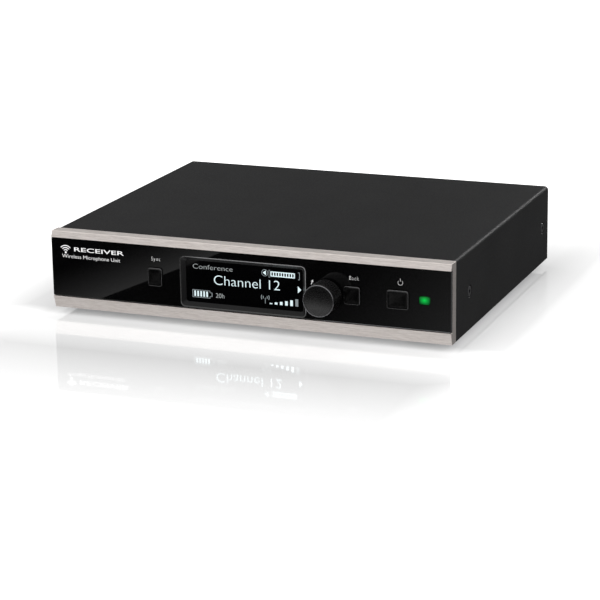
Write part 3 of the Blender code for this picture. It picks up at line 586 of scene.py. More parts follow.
def bands(centre, outer, inner, start, end, parts):
    """An arc-shaped band as short convex pieces."""
    step = (end - start) / parts
    return [
        ring_band(centre, outer, inner, start + i * step, start + (i + 1) * step, 2) for i in range(parts)]


# ---------------------------------------------------------------- front


PANEL_LOW, PANEL_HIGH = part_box("front_panel")
WINDOW_LOW, WINDOW_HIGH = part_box("display_window")
WINDOW_CENTRE = (WINDOW_LOW + WINDOW_HIGH) / 2
PANEL_FACE = PANEL_LOW.y
INK_Y = PANEL_FACE - 0.00002
PICTURE_Y = WINDOW_LOW.y - 0.00003
PICTURE_X = WINDOW_HIGH.x - 0.03155
RECESS_HALF = (0.0332, 0.01275)


def window_rim(first, second):
    """Whether an edge lies on the panel's face, around the display's recess."""
    face = max(abs(first.y - PANEL_FACE), abs(second.y - PANEL_FACE)) < 0.00001
    middle = (first + second) / 2 - WINDOW_CENTRE
    return face and abs(middle.x) < RECESS_HALF[0] + 0.0012 and abs(middle.z) < RECESS_HALF[1] + 0.0022


def recess_rim_painted_highlight():
    """Fine rim of the display's recess, its colour a painted highlight, paler towards its top right corner.
    """
    made = material("recess_edge_painted_highlight", Specular_IOR_Level=0.9)
    middle = vector(made, 'SUBTRACT', object_place(made), WINDOW_CENTRE)
    corner = vector(made, 'DOT_PRODUCT', middle, (1 / RECESS_HALF[0], 0.0, 1 / RECESS_HALF[1]))
    # painted highlight: the rim's colour runs from near black at the bottom left to pale grey at the top
    # right
    tinted(made, corner, (0.010, 0.010, 0.010), (0.13, 0.13, 0.133), 0.05, 0.30)
    roughened(made, noise(made, 3200.0, 2.0), 0.22, 0.32)
    return made


def make_front_shell():
    reach = 0.0132
    refined("top_cover", 0.00022, 3)
    refined("front_frame", 0.00010, 3)
    panel = refined("front_panel", 0.00032, 3, chosen=window_rim)
    panel.data.materials.append(RECESS_BLACK)
    panel.data.materials.append(recess_rim_painted_highlight())
    # the rounded rim edges take the painted-highlight material
    panel.modifiers["edge"].material = 2
    for face in panel.data.polygons:
        middle = face.center
        inside = abs(middle.x - WINDOW_CENTRE.x) < RECESS_HALF[0] and abs(middle.z - WINDOW_CENTRE.z) < reach
        if inside and abs(face.normal.y) < 0.95:
            face.material_index = 1


def make_key(name):
    """Push button cap with rounded edges and a shallow dish, its flange and stem behind it."""
    low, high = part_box(name)
    centre = middle_of(name)
    flange = 0.0018
    width = high.x - low.x - flange
    height = high.z - low.z - flange
    corner, edge, dish = 0.0012, 0.00032, 0.00010
    front = low.y
    rings = [rounded(width, height, corner, PANEL_HIGH.y - front)]
    for i in range(5):
        angle = math.radians(90 * i / 4)
        inset = edge * (1 - math.cos(angle))
        rings.append(rounded(
            width - 2 * inset, height - 2 * inset, corner - inset, edge * (1 - math.sin(angle))))
    for share in (0.80, 0.55, 0.25):
        sink = dish * (1 - share ** 2)
        rings.append(rounded((width - 2 * edge) * share, (height - 2 * edge) * share, corner * share, sink))
    place = Matrix.Translation((centre.x, front, centre.z))
    flange_front = PANEL_HIGH.y + 0.0003 - front
    collar = [rounded(width + flange, height + flange, corner, flange_front + d) for d in (0.0, 0.001)]
    stem = [circle(0.0015, d, 28) for d in (flange_front, high.y - front)]
    mesh = joined(name + "_cap", [(rings, place), (collar, place), (stem, place @ BACKWARD)], 50)
    cap = add(name + "_cap", mesh, KEY_BLACK, body=NODES[name]["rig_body"])
    mesh.materials.append(KEY_EDGE_HIGHLIGHT)
    # the cap's rounded edge faces take the painted-highlight material
    for face in mesh.polygons:
        rounding = -0.95 < face.normal.y < -0.10 and face.center.y < front + edge
        face.material_index = 1 if rounding else 0
    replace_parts(cap, name)


def make_knob():
    """Jog dial: straight satin side, soft dished face and a thin polished rim."""
    low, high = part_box("jog_knob")
    centre = middle_of("jog_knob")
    radius = (high.x - low.x) / 2
    length = high.y - low.y
    place = Matrix.Translation((centre.x, low.y, centre.z)) @ FORWARD
    rim = radius - 0.00028
    profile = [(0.0033, -0.0062), (0.0033, -length), (radius - 0.0006, -length)]
    profile += [(radius - 0.0002, -length + 0.0002), (radius, -length + 0.0006), (radius, -0.00065)]
    profile += [(radius - 0.00004, -0.00045), (rim, -0.00022), (rim - 0.0002, -0.00022)]
    profile += [(rim - 0.0004, -0.00030)]
    dish = radius - 0.0007
    profile += [(dish * (1 - i / 10), -0.00030 - 0.00062 * (1 - (1 - i / 10) ** 2)) for i in range(11)]
    knob = turned("jog_knob_body", profile, place, KNOB_BLACK, 96, 40, "jog_dial")
    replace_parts(knob, "jog_knob")
    band = [(radius - 0.00010, -0.00042), (radius - 0.00005, -0.00016), (radius - 0.00018, 0.0)]
    band += [(rim, 0.0), (rim - 0.00012, -0.00010), (rim - 0.00012, -0.00028)]
    hoop("jog_knob_rim", band, place, RIM, 96, 60, "jog_dial")


def make_status_lens():
    low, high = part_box("status_led")
    centre = middle_of("status_led")
    width, height, collar = 0.0051, 0.0037, 0.0010
    rings = [rounded(width, height, 0.0005, PANEL_HIGH.y - low.y + 0.0003)]
    for inset, depth in ((0.0, 0.00018), (0.00006, 0.00006), (0.0002, 0.0), (0.0008, 0.0)):
        rings.append(rounded(width - 2 * inset, height - 2 * inset, 0.0005, depth))
    place = Matrix.Translation((centre.x, low.y, centre.z))
    start = PANEL_HIGH.y + 0.0003 - low.y
    flare = 0.0018
    flange = [rounded(width + flare, height + flare, 0.0005, start + d) for d in (0.0, collar)]
    stem = [rounded(0.0036, 0.0028, 0.0003, d) for d in (start + collar, high.y - low.y)]
    lens = combined("status_lens", [(rings, place), (flange, place), (stem, place)], LENS)
    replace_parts(lens, "status_led")


def display_point(dx, dz):
    """Place on the display, in millimetres from the middle of its picture."""
    return PICTURE_X + dx * MM, WINDOW_CENTRE.z + dz * MM


def display_bar(x0, z0, x1, z1):
    (ax, az), (bx, bz) = display_point(x0, z0), display_point(x1, z1)
    return bar(ax, az, bx, bz)


def make_display_text():
    lines = (
        ("display_title", "Channel 12", (-17.4, -1.2), 35.2, 5.2, PIXELS, -0.012),
        ("display_preset", "Conference", (-28.6, 6.2), 21.4, 2.6, DIM_TEXT, -0.014),
        ("display_hours", "20h", (-16.6, -7.9), 4.6, 2.5, DIM_TEXT, -0.008),
    )
    for name, words, (dx, dz), width, height, paint, bold in lines:
        x, z = display_point(dx, dz)
        flat_text(name, words, (x, PICTURE_Y, z), width * MM, paint, bold, height=height * MM)


def display_bars(name, paint, *bars):
    """Piece of the picture made of bars, each given by two opposite corners."""
    flat_shapes(name, [display_bar(*ends) for ends in bars], PICTURE_Y, paint)


def display_outline(name, paint, *points):
    flat_shapes(name, [[display_point(*point) for point in points]], PICTURE_Y, paint)


def make_display_icons():
    """Battery, level meter, speaker, aerial with signal bars, and the menu arrow."""
    display_bars(
        "display_battery", DIM_PIXELS, (-29.2, -4.9, -19.6, -4.6), (-29.2, -8.6, -19.6, -8.3),
        (-29.2, -8.3, -28.8, -4.9), (-19.9, -8.3, -19.6, -7.6), (-19.9, -5.6, -19.6, -4.9),
        (-18.8, -7.6, -18.4, -5.6), (-19.6, -7.7, -18.7, -7.4), (-19.6, -5.8, -18.7, -5.5))
    display_bars("display_charge", PIXELS, *(
        (-28.2 + 1.62 * i, -8.0, -27.3 + 1.62 * i, -5.2) for i in range(5)))
    display_bars("display_meter", PIXELS, *(
        (12.9 + 1.36 * i, 6.1, 13.45 + 1.36 * i, 7.7) for i in range(10)),
        (12.9, 5.6, 25.7, 6.1), (12.9, 7.7, 25.7, 8.2))
    display_bars(
        "display_brackets", DIM_PIXELS, (12.0, 5.0, 12.3, 8.8), (12.3, 5.0, 12.7, 5.3),
        (12.3, 8.5, 12.7, 8.8), (28.0, 5.0, 28.3, 8.8), (27.4, 5.0, 28.0, 5.3), (27.4, 8.5, 28.0, 8.8),
        (25.6, 6.2, 25.9, 7.6))
    ring = bands(display_point(9.9, 7.2), 1.75 * MM, 1.48 * MM, 0, 360, 28)
    flat_shapes("display_speaker_ring", ring, PICTURE_Y, DIM_PIXELS)
    display_outline("display_speaker", PIXELS, (8.8, 7.2), (10.5, 6.0), (10.5, 8.4))
    display_outline("display_arrow", PIXELS, (27.2, -1.7), (29.0, 0.1), (27.2, 1.9))
    heights = (0.55, 1.1, 1.6, 2.2, 2.9)
    display_bars("display_signal", PIXELS, *(
        (12.2 + 2.72 * i, -8.5, 13.6 + 2.72 * i, -8.5 + height) for i, height in enumerate(heights)))
    display_bars("display_signal_last", DIM_PIXELS, (25.8, -8.5, 27.3, -4.8))
    mast = display_point(9.9, -5.3)
    aerial = [display_bar(9.75, -8.4, 10.05, -5.5)]
    for outer in (1.3, 2.3):
        for start in (-32, 148):
            aerial += bands(mast, outer * MM, (outer - 0.4) * MM, start, start + 64, 6)
    flat_shapes("display_aerial", aerial, PICTURE_Y, DIM_PIXELS)


def make_front_legends():
    """Generic lettering: a fan of radio waves, a function name, a subtitle and key names."""
    left = PANEL_LOW.x + 0.0052
    top = PANEL_HIGH.z - 0.0028
    focus = (left + 0.0027, top - 0.0043)
    emblem = bands(focus, 0.00055, 0.00002, 0, 360, 12)
    for outer in (0.0016, 0.0027, 0.0038):
        emblem += bands(focus, outer, outer - 0.00045, 42, 138, 8)
    flat_shapes("legend_emblem", emblem, INK_Y, INK)
    flat_text("legend_title", "RECEIVER", (left + 0.0075, INK_Y, top - 0.0034), 0.0278, INK, 0.008,
              height=0.0022)
    flat_text("legend_subtitle", "Wireless Microphone Unit", (left + 0.0006, INK_Y, top - 0.0071), 0.0325,
              INK, -0.008, height=0.0020)
    keys = (("pair", "Sync", -0.0479, 0.0331, 0.0050), ("esc", "Back", 0.0571, 0.0323, 0.0048))
    for name, words, x, z, width in keys:
        flat_text("legend_" + name, words, (x - width / 2, INK_Y, z), width, INK, -0.020, height=0.0021,
                  spacing=1.25)


def make_symbols():
    centre = (0.0806, 0.0331)
    power = bands(centre, 0.00128, 0.00114, 138, 402, 20)
    power += [bar(centre[0] - 0.00008, centre[1] + 0.0007, centre[0] + 0.00008, centre[1] + 0.0020)]
    flat_shapes("legend_power", power, INK_Y, INK)
    x, z = 0.0353, 0.0295
    shaft = [(x - 0.0005, z - 0.0012), (x - 0.0002, z - 0.0013)]
    shaft += [(x + 0.0004, z + 0.0004), (x + 0.0001, z + 0.0005)]
    head = [(x - 0.0005, z + 0.0003), (x + 0.0008, z + 0.0001), (x + 0.0006, z + 0.0013)]
    flat_shapes("legend_dial", [shaft, head], INK_Y, INK)


# ---------------------------------------------------------------- rear


REAR_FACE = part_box("rear_panel")[1].y
REAR_INK_Y = REAR_FACE + 0.00002
SEEN_BEHIND = Matrix.Rotation(math.pi, 4, 'Z') @ FORWARD
FLATS_AT_SIDES = math.pi / 6


def behind(name, y=REAR_FACE):
    """Place on a rear connector's axis, its local Z pointing out to the rear."""
    centre = middle_of(name)
    return Matrix.Translation((centre.x, y, centre.z)) @ BACKWARD


def combined(name, lofts, paint):
    return add(name, joined(name, lofts), paint)


def thread(radius, start, end, pitch=0.0007, depth=0.00025):
    """Profile of a thread's crests and roots between two heights."""
    turns = int((end - start) / pitch)
    profile = []
    for i in range(turns):
        foot = start + i * pitch
        profile += [(radius - depth, foot), (radius, foot + pitch * 0.4), (radius, foot + pitch * 0.6)]
    return profile + [(radius - depth, start + turns * pitch)]


def nut_rings(apothem, bore, height):
    """Hex nut standing on z = 0, its corners turned down to a cone at both faces."""
    chamfer, count = 0.0005, 72
    corner = apothem / math.cos(math.pi / 6)
    face = apothem * 0.985

    def ring(level, limit):
        points = []
        for x, y, z in hexagon(apothem, level, count, FLATS_AT_SIDES):
            share = min(1, limit / math.hypot(x, y))
            points.append((x * share, y * share, z))
        return points

    shares = (0.0, 0.25, 0.5, 0.75, 1.0)
    lower = [ring(chamfer * share, face + (corner - face) * share) for share in shares]
    upper = [ring(height - chamfer * share, face + (corner - face) * share) for share in reversed(shares)]
    bevel = 0.0003
    inside = [circle(bore + bevel, height, count), circle(bore, height - bevel, count)]
    inside += [circle(bore, bevel, count)]
    rings = [circle(bore + bevel, 0.0, count)] + lower + upper + inside
    return rings + rings[:1]


def make_nut(name, bore):
    low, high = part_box(name)
    rings = nut_rings((high.x - low.x) / 2, bore, high.y - low.y)
    nut = add(name + "_hex", loft(name + "_hex", rings, behind(name, low.y), 25, False), NICKEL)
    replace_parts(nut, name)


def make_antenna_socket(name):
    """Bayonet socket: threaded barrel with two lugs, white insulator and gold centre contact."""
    low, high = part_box(name)
    place = behind(name)
    end, foot, wall, bore = high.y - REAR_FACE, low.y - REAR_FACE, 0.0048, 0.0041
    profile = [(0.0020, foot), (0.0020, foot + 0.0040), (wall, foot + 0.0040)] + thread(wall, -0.0010, 0.0045)
    profile += [(wall - 0.0004, 0.0049), (wall, 0.0051), (wall, end - 0.0004), (wall - 0.0003, end)]
    profile += [(bore + 0.0002, end), (bore, end - 0.0003), (bore, 0.0013)]
    flange = [hexagon((high.x - low.x) / 2, level, 48, FLATS_AT_SIDES) for level in (-0.0047, -0.0019)]
    lofts = [(lathe_rings(profile, 56), place), (flange, place)]
    lug = lathe_rings([(0.0010, 0.0043), (0.0010, 0.0055), (0.0008, 0.0057), (0.0004, 0.0057)], 24)
    for way in (RIGHTWARD, LEFTWARD):
        lofts.append((lug, place @ Matrix.Translation((0, 0, end - 0.0042)) @ way))
    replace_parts(combined(name + "_barrel", lofts, NICKEL), name)
    core = [(0.0020, 0.0012), (0.0020, end - 0.0027), (0.0018, end - 0.0025), (0.0010, end - 0.0025)]
    core += [(0.0010, 0.0050)]
    combined(name + "_insulator", [(lathe_rings(core, 40), place)], INSULATOR)
    contact = [(0.0009, 0.0051), (0.0009, end - 0.0028), (0.0006, end - 0.0026), (0.0005, end - 0.0028)]
    contact += [(0.0005, 0.0055)]
    combined(name + "_contact", [(lathe_rings(contact, 28), place)], GOLD)


def make_xlr():
    """Three-pin output: cast flange, black insert with a raised ring and three gold pins."""
    refined("xlr_shell", 0.0004, 3, SATIN_NICKEL)
    rim = REAR_FACE + 0.0023
    collar = [(0.0098, -0.0005), (0.0112, -0.0005), (0.0112, 0.0002), (0.0110, 0.0005), (0.0101, 0.0005)]
    collar += [(0.0098, 0.0001)]
    hoop("xlr_collar", collar, behind("xlr_shell", rim), SATIN_NICKEL, 72)
    low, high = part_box("xlr_insert")
    place = behind("xlr_insert", low.y)
    disc = [(0.0095, 0.0), (0.0095, 0.0028), (0.0093, 0.0030), (0.0082, 0.0030), (0.0080, 0.0026)]
    disc += [(0.0020, 0.0026)]
    key = [[(x, y, z) for x, y in ((-0.0011, 0.0086), (0.0011, 0.0086), (0.0011, 0.0098), (-0.0011, 0.0098))]
           for z in (0.0028, high.y - low.y - 0.0012)]
    insert = combined("xlr_insert_body", [(lathe_rings(disc, 72), place), (key, place)], SATIN)
    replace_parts(insert, "xlr_insert")
    reach = high.y - low.y
    pin = [(0.0012, 0.0020), (0.0012, reach - 0.0009), (0.0010, reach - 0.0004), (0.0006, reach - 0.0001)]
    rings = lathe_rings(pin + [(0.0002, reach)], 28)
    turns = (math.radians(angle) for angle in (30, 150, 270))
    spacing = 0.0050
    combined("xlr_pins", [
        (rings, place @ Matrix.Translation((spacing * math.cos(turn), -spacing * math.sin(turn), 0)))
        for turn in turns], GOLD)


def make_jack():
    """6.3 mm socket: moulded body, threaded bush, and a spring contact down in the bore."""
    low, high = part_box("jack_body")
    place = behind("jack_body")
    size = high.x - low.x
    seat = -0.0019
    foot, edge = low.y - REAR_FACE, 0.0004
    levels_of_block = ((edge, foot), (0.0, foot + edge), (0.0, seat - edge), (edge, seat))
    block = [rounded(size - 2 * inset, size - 2 * inset, 0.0010, level) for inset, level in levels_of_block]
    centre = middle_of("jack_body")
    upright = Matrix.Translation((centre.x, REAR_FACE, centre.z))
    end = high.y - REAR_FACE
    bush = [(0.0050, seat - 0.001)] + thread(0.0051, seat, end - 0.0006)
    bush += [(0.0048, end), (0.0036, end), (0.0032, end - 0.0004), (0.0032, -0.0060)]
    body = combined("jack_body_moulding", [(block, upright), (lathe_rings(bush, 56), place)], SATIN)
    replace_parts(body, "jack_body")
    spring = [[(x, 0.0032 - rise, z) for x, rise, z in (
        (-0.0006, 0.0, level), (0.0006, 0.0, level), (0.0006, lift, level), (-0.0006, lift, level))]
        for level, lift in ((-0.0055, 0.0003), (-0.0025, 0.0012), (-0.0005, 0.0003))]
    combined("jack_spring", [(spring, place)], NICKEL)
    make_nut("jack_nut", 0.0053)


def make_ethernet_port():
    """Network socket: tin shell, black liner, eight gold contacts and two light pipes."""
    refined("ethernet_port", 0.00022, 3, TIN)
    centre = middle_of("ethernet_port")
    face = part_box("ethernet_port")[1].y
    lining = Matrix.Translation((centre.x, face, 0.0218))
    outer, inner = (0.01176, 0.00796), (0.0110, 0.0072)
    steps = ((outer, -0.0118), (outer, -0.0008), (inner, -0.0008), (inner, -0.0112))
    rings = [rounded(*size, 0.0002, depth) for size, depth in steps]
    add("ethernet_liner", loft("ethernet_liner", rings, lining), SATIN)
    lofts, pitch, thick = [], 0.00102, 0.00022
    section = ((-thick, 0), (thick, 0), (thick, thick), (-thick, thick))
    route = ((-0.0016, 0.0031), (-0.0024, 0.0029), (-0.0085, 0.0008), (-0.0108, 0.0006))
    for x in ((i - 3.5) * pitch for i in range(8)):
        lofts.append(([[(x + dx, y, z + dz) for dx, dz in section] for y, z in route], lining))
    combined("ethernet_contacts", lofts, GOLD)
    for side, paint in ((-1, GREEN_PIPE), (1, AMBER_PIPE)):
        pipe = [rounded(0.0030 - 2 * inset, 0.0013 - 2 * inset, 0.0002, depth)
                for inset, depth in ((0.0, -0.0010), (0.0, 0.0001), (0.00015, 0.0002))]
        lamp = Matrix.Translation((centre.x + side * 0.0050, face, 0.0165))
        combined(f"ethernet_lamp_{'left' if side < 0 else 'right'}", [(pipe, lamp)], paint)


def make_dc_socket():
    """Barrel socket with a metal centre pin and a contact ring down in the bore."""
    refined("dc_socket", 0.0003, 3)
    low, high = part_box("dc_socket")
    place = Matrix.Translation(((low.x + high.x) / 2, high.y, 0.0212)) @ BACKWARD
    pin = [(0.00105, -0.0096), (0.00105, -0.0011), (0.0009, -0.0007), (0.0005, -0.0005), (0.0002, -0.00045)]
    combined("dc_pin", [(lathe_rings(pin, 32), place)], NICKEL)
    ring = [(0.0029, -0.0050), (0.0026, -0.0050), (0.0026, -0.0030), (0.0029, -0.0030)]
    hoop("dc_ring", ring, place, NICKEL, 40)


SUNK_LENGTH, PAN_LENGTH = 0.0045, 0.0055


def make_screw(name, direction, seat, sunk=False):
    """Black screw with a hex drive; a pan head, or a flat one that sits sunk in the cover."""
    shank, drive, count = 0.0015, 0.00095, 48
    length, head, rise = (SUNK_LENGTH, 0.0026, 0.0012) if sunk else (PAN_LENGTH, 0.0027, 0.0017)
    profile = [(shank - 0.0004, -length)] + thread(shank, -length + 0.0002, -0.0004, 0.0005, 0.0002)
    if sunk:
        profile += [(shank, 0.0), (head, rise - 0.0002), (head - 0.00012, rise - 0.00002), (0.0017, rise)]
    else:
        side, crown = 0.0006, 0.0014
        profile += [(shank, 0.0), (head - 0.0001, 0.0), (head, 0.0001), (head, side)]
        for angle in (math.radians(15 * i) for i in range(1, 6)):
            profile.append((crown + (head - crown) * math.cos(angle), side + (rise - side) * math.sin(angle)))
    rings = lathe_rings(profile, count)
    rings += [hexagon(drive + 0.00012, rise, count), hexagon(drive, rise - 0.0001, count)]
    rings += [hexagon(drive, rise - 0.0009, count)]
    place = Matrix.Translation(seat) @ direction
    screw = add(name + "_body", loft(name + "_body", rings, place, 40), BLACK_ZINC)
    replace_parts(screw, name)


def make_screws():
    for name in NODES:
        low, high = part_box(name)
        centre = middle_of(name)
        if name.startswith("cover_screw"):
            right = centre.x > 0
            seat = (low.x + SUNK_LENGTH if right else high.x - SUNK_LENGTH, centre.y, centre.z)
            make_screw(name, RIGHTWARD if right else LEFTWARD, seat, sunk=True)
        elif name.startswith(("rear_screw", "xlr_screw")):
            make_screw(name, BACKWARD, (centre.x, low.y + PAN_LENGTH, centre.z))


def make_feet():
    """Rubber feet with a rounded sole, a dimple under it and a snap stem."""
    for name in FEET:
        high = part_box(name)[1]
        centre = middle_of(name)
        profile = [(0.0010, 0.0012), (0.0022, 0.0011), (0.0027, 0.0005), (0.0031, 0.0), (0.0059, 0.0)]
        profile += [(0.0063, 0.0002), (0.0065, 0.0007), (0.0070, 0.0032), (0.00695, 0.0034), (0.0068, 0.0035)]
        profile += [(0.0019, 0.0035), (0.0019, 0.0057), (0.0029, 0.0057), (0.0029, 0.0061), (0.0016, high.z)]
        place = Matrix.Translation((centre.x, centre.y, 0))
        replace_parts(turned(name + "_pad", profile, place, RUBBER, 64, 40), name)


def make_rear_legends():
    """Plain function names beside the sockets, one height, in the rear panel's print."""
    above, below = 0.0347, 0.0052
    labels = (
        ("antenna_socket_left", "ANT A", 0.0064, above), ("antenna_socket_right", "ANT B", 0.0064, above),
        ("xlr_shell", "BALANCED OUT", 0.0152, below), ("jack_body", "LINE OUT", 0.0096, above),
        ("ethernet_port", "LAN", 0.0040, above), ("dc_socket", "DC 12 V", 0.0086, above),
    )
    for node_name, words, width, z in labels:
        corner = (middle_of(node_name).x + width / 2, REAR_INK_Y, z)
        flat_text("label_" + node_name, words, corner, width, REAR_INK, -0.004, facing=SEEN_BEHIND,
                  height=0.0017)


def make_rear():
    refined("rear_panel", 0.00018, 2)
    refined("base_tray", 0.00018, 2)
    refined("cable_hook", 0.0006, 3)
    for side in ("left", "right"):
        make_antenna_socket("antenna_socket_" + side)
        make_nut("antenna_nut_" + side, 0.0050)
    make_xlr()
    make_jack()
    make_ethernet_port()
    make_dc_socket()
    make_screws()
    make_feet()
    make_rear_legends()


# ---------------------------------------------------------------- stage


FOOTPRINT = (0.106, 0.082)


def make_camera():
    """Long lens, 22 degrees round to the right and 16 degrees above, tipped by under a degree."""
    yaw, pitch, roll = math.radians(21.77), math.radians(16.02), math.radians(-0.91)
    right = Vector((math.cos(yaw), math.sin(yaw), 0))
    ahead = Vector((-math.sin(yaw), math.cos(yaw), 0))
    up = Vector((0, 0, 1))
    look = ahead * math.cos(pitch) - up * math.sin(pitch)
    top = up * math.cos(pitch) + ahead * math.sin(pitch)
    side = right * math.cos(roll) + top * math.sin(roll)
    crown = top * math.cos(roll) - right * math.sin(roll)
    lens = bpy.data.cameras.new("camera")
    lens.lens = 131.88
    lens.sensor_width = 36.0
    lens.clip_start, lens.clip_end = 0.05, 50.0
    camera = placed("camera", lens)
    turn = Matrix((side, crown, -look)).transposed().to_4x4()
    camera.matrix_world = Matrix.Translation((0.4101, -1.0361, 0.3149)) @ turn
    bpy.context.scene.camera = camera


def distance_outside(made, half_x, half_y, sideways=1.0):
    """Distance on the floor from a rectangle about the origin, counted sideways times over along X."""
    outside = vector(made, 'SUBTRACT', vector(made, 'ABSOLUTE', object_place(made)), (half_x, half_y, 10.0))
    clear = vector(made, 'MAXIMUM', outside, (0.0, 0.0, 0.0))
    return vector(made, 'LENGTH', vector(made, 'MULTIPLY', clear, (sideways, 1.0, 1.0)))


def hump(made, distance, base, height, rise, hold, fall):
    """Value that goes from base to height by one distance, holds it to the next and is gone by the last."""
    return reckon(made, 'MULTIPLY', spread(made, distance, base, height, 0.0, rise),
                  spread(made, distance, 1.0, 0.0, hold, fall))


def mixed(made, share, first, second):
    return node(made, "ShaderNodeMixShader", {0: share, 1: first, 2: second}).outputs["Shader"]


def make_floor():
    """Pale polished floor, clear from below, its polish strongest next to the object.

    Its glow by place softens the object's shadow: before the front, and along both sides.
    """
    made = emptied(bpy.data.materials.new("floor"))
    pale = node(made, "ShaderNodeBsdfDiffuse", {"Color": (0.98, 0.98, 0.98, 1.0)})
    scuffs = spread(made, noise(made, 6.0, 2.0), 0.03, 0.05)
    polish = node(made, "ShaderNodeBsdfGlossy", {"Roughness": scuffs})
    away = spread(made, distance_outside(made, *FOOTPRINT, 3.0), 1.0, 0.0, 0.0, 0.230)
    slant = node(made, "ShaderNodeFresnel", {"IOR": 1.8})
    share = reckon(made, 'MULTIPLY', reckon(made, 'MULTIPLY', away, slant.outputs["Fac"]), 2.4)
    depth = axes_of(made, object_place(made))["Y"]
    around = hump(made, distance_outside(made, *FOOTPRINT), 1.25, 1.00, 0.006, 0.012, 0.050)
    before = reckon(made, 'MULTIPLY', around, spread(made, depth, 1.0, 0.0, -0.080, -0.060))
    sideways = distance_outside(made, FOOTPRINT[0], 10.0)
    close = reckon(made, 'MULTIPLY', hump(made, sideways, 0.64, 0.26, 0.025, 0.030, 0.150),
                   spread(made, depth, 0.0, 1.0, -0.095, -0.075))
    beside = reckon(made, 'MAXIMUM', hump(made, sideways, 0.0, 0.36, 0.025, 0.100, 0.300), close)
    lift = node(made, "ShaderNodeEmission", {"Strength": reckon(made, 'MAXIMUM', before, beside)})
    lifted = node(made, "ShaderNodeAddShader", {0: pale.outputs["BSDF"], 1: lift.outputs["Emission"]})
    above = mixed(made, share, lifted.outputs["Shader"], polish.outputs["BSDF"])
    from_below = node(made, "ShaderNodeNewGeometry").outputs["Backfacing"]
    both = mixed(made, from_below, above, node(made, "ShaderNodeBsdfTransparent").outputs["BSDF"])
    node(made, "ShaderNodeOutputMaterial", {"Surface": both})
    shape = bmesh.new()
    bmesh.ops.create_grid(shape, x_segments=1, y_segments=1, size=6.0)
    mesh = mesh_from("floor", shape)
    mesh.materials.append(made)
    floor = placed("floor", mesh)
    floor.visible_glossy = False


def make_card(name, corners, near, far):
    """Softbox that only shows in reflections, its light falling off from its first edge to its last."""
    shape = bmesh.new()
    face = shape.faces.new([shape.verts.new(corner) for corner in corners])
    layer = shape.loops.layers.uv.new("falloff")
    for loop, place in zip(face.loops, ((0, 0), (0, 1), (1, 1), (1, 0))):
        loop[layer].uv = place
    mesh = mesh_from(name, shape)
    made = emptied(bpy.data.materials.new(name))
    across = axes_of(made, node(made, "ShaderNodeTexCoord").outputs["UV"])["X"]
    fading = reckon(made, 'POWER', spread(made, across, near ** 0.5, far ** 0.5, 0.0, 1.0), 2.0)
    glow = node(made, "ShaderNodeEmission", {"Strength": fading})
    node(made, "ShaderNodeOutputMaterial", {"Surface": glow.outputs["Emission"]})
    mesh.materials.append(made)
    card = placed(name, mesh)
    card.visible_camera = False
    card.visible_diffuse = False
    card.visible_shadow = False


def make_cards():
    """Reflections: slanted softbox and side glow in the gloss panel, light from below for the lower
    strip, and a softbox behind the right shoulder for the bend of the cover."""
    low = -0.30
    cards = (
        ("slanted_card", 0.55, 0.0, (
            (-0.5912, -1.00, low), (-0.5162, -1.36, low), (-0.6462, -1.36, low), (-0.7212, -1.00, low))),
        ("side_card", 0.50, 0.0, (
            (-0.15, -1.40, low), (-0.15, -0.95, low), (-0.42, -0.95, low), (-0.42, -1.40, low))),
        ("low_card", 1.05, 1.05, (
            (1.2, -0.38, low), (-1.2, -0.38, low), (-1.2, -0.08, low), (1.2, -0.08, low))),
        ("front_card", 1.38, 1.38, (
            (1.6, -2.2, -0.05), (-2.2, -2.2, -0.05), (-2.2, -2.2, -0.42), (1.6, -2.2, -0.42))),
        ("left_card", 0.7, 0.7, (
            (-1.3, -0.2, -0.02), (-1.3, -1.7, -0.02), (-1.3, -1.7, -0.5), (-1.3, -0.2, -0.5))),
        ("rear_low_card", 0.20, 0.20, ((1.8, 0.2, low), (-0.4, 0.2, low), (-0.4, 2.4, low), (1.8, 2.4, low))),
        ("shoulder_card", 12.0, 12.0, (
            (0.62, 1.2, 0.35), (0.62, 1.2, 0.85), (0.15, 1.3, 0.85), (0.15, 1.3, 0.35))),
    )
    for name, near, far, corners in cards:
        make_card(name, corners, near, far)


def levels(made, source, *stops):
    """Grey levels over one component of a direction; stops are (component, level)."""
    along = spread(made, source, 0.0, 1.0, -1.0, 1.0)
    return colours(made, along, *(((part + 1) / 2, (level, level, level)) for part, level in stops))


def backdrop(made, strength, colour=(1.0, 1.0, 1.0, 1.0)):
    return node(made, "ShaderNodeBackground", {"Color": colour, "Strength": strength}).outputs[0]


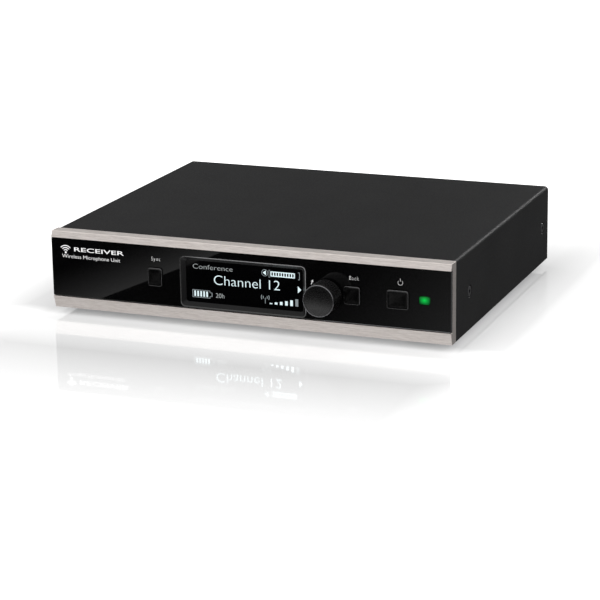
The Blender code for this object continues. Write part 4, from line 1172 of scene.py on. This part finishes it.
def make_world():
    """White room. Mirror-like surfaces see it by direction: dark below the horizon, brightest in front."""
    world = emptied(bpy.data.worlds.new("studio"))
    bpy.context.scene.world = world
    direction = axes_of(world, node(world, "ShaderNodeTexCoord").outputs["Generated"])
    rise = levels(
        world, direction["Z"], (-1.0, 0.012), (-0.02, 0.012), (0.03, 0.66), (0.45, 0.66), (0.75, 1.0),
        (1.0, 1.0))
    depth = levels(world, direction["Y"], (-1.0, 1.0), (0.3, 1.0), (0.75, 0.62), (1.0, 0.40))
    inputs = {0: 1.0, 6: rise, 7: depth}
    both = node(world, "ShaderNodeMix", inputs, data_type='RGBA', blend_type='MULTIPLY')
    path = node(world, "ShaderNodeLightPath").outputs
    room = mixed(world, path["Is Glossy Ray"], backdrop(world, 0.98), backdrop(world, 1.1, both.outputs[2]))
    seen = mixed(world, path["Is Camera Ray"], room, backdrop(world, 1.0))
    node(world, "ShaderNodeOutputWorld", {"Surface": seen})


def make_area(name, place, target, size, power):
    light = bpy.data.lights.new(name, 'AREA')
    light.shape = 'RECTANGLE'
    light.size, light.size_y = size
    light.energy = power
    lamp = placed(name, light)
    lamp.location = place
    lamp.rotation_mode = 'QUATERNION'
    lamp.rotation_quaternion = (Vector(target) - Vector(place)).to_track_quat('-Z', 'Y')
    lamp.visible_camera = False
    lamp.visible_glossy = False


def make_lights():
    make_area("key", (-0.7, -1.2, 1.3), (0, 0, 0.02), (1.4, 0.9), 5.0)
    make_area("right_key", (1.5, -0.3, 1.1), (0, 0, 0.02), (1.2, 0.9), 16.0)
    make_area("overhead", (0.1, 0.4, 1.6), (0, 0, 0.02), (1.6, 1.2), 4.0)


def set_colours():
    view = bpy.context.scene.view_settings
    view.view_transform = 'Standard'
    view.look = 'None'
    view.exposure = 0.0
    view.gamma = 1.0


def main():
    paint_nodes()
    make_front_shell()
    for key in ("pair_button", "esc_button", "power_button"):
        make_key(key)
    make_knob()
    make_status_lens()
    make_display_text()
    make_display_icons()
    make_front_legends()
    make_symbols()
    make_rear()
    make_camera()
    make_floor()
    make_cards()
    make_world()
    make_lights()
    set_colours()
    bpy.context.view_layer.update()


main()
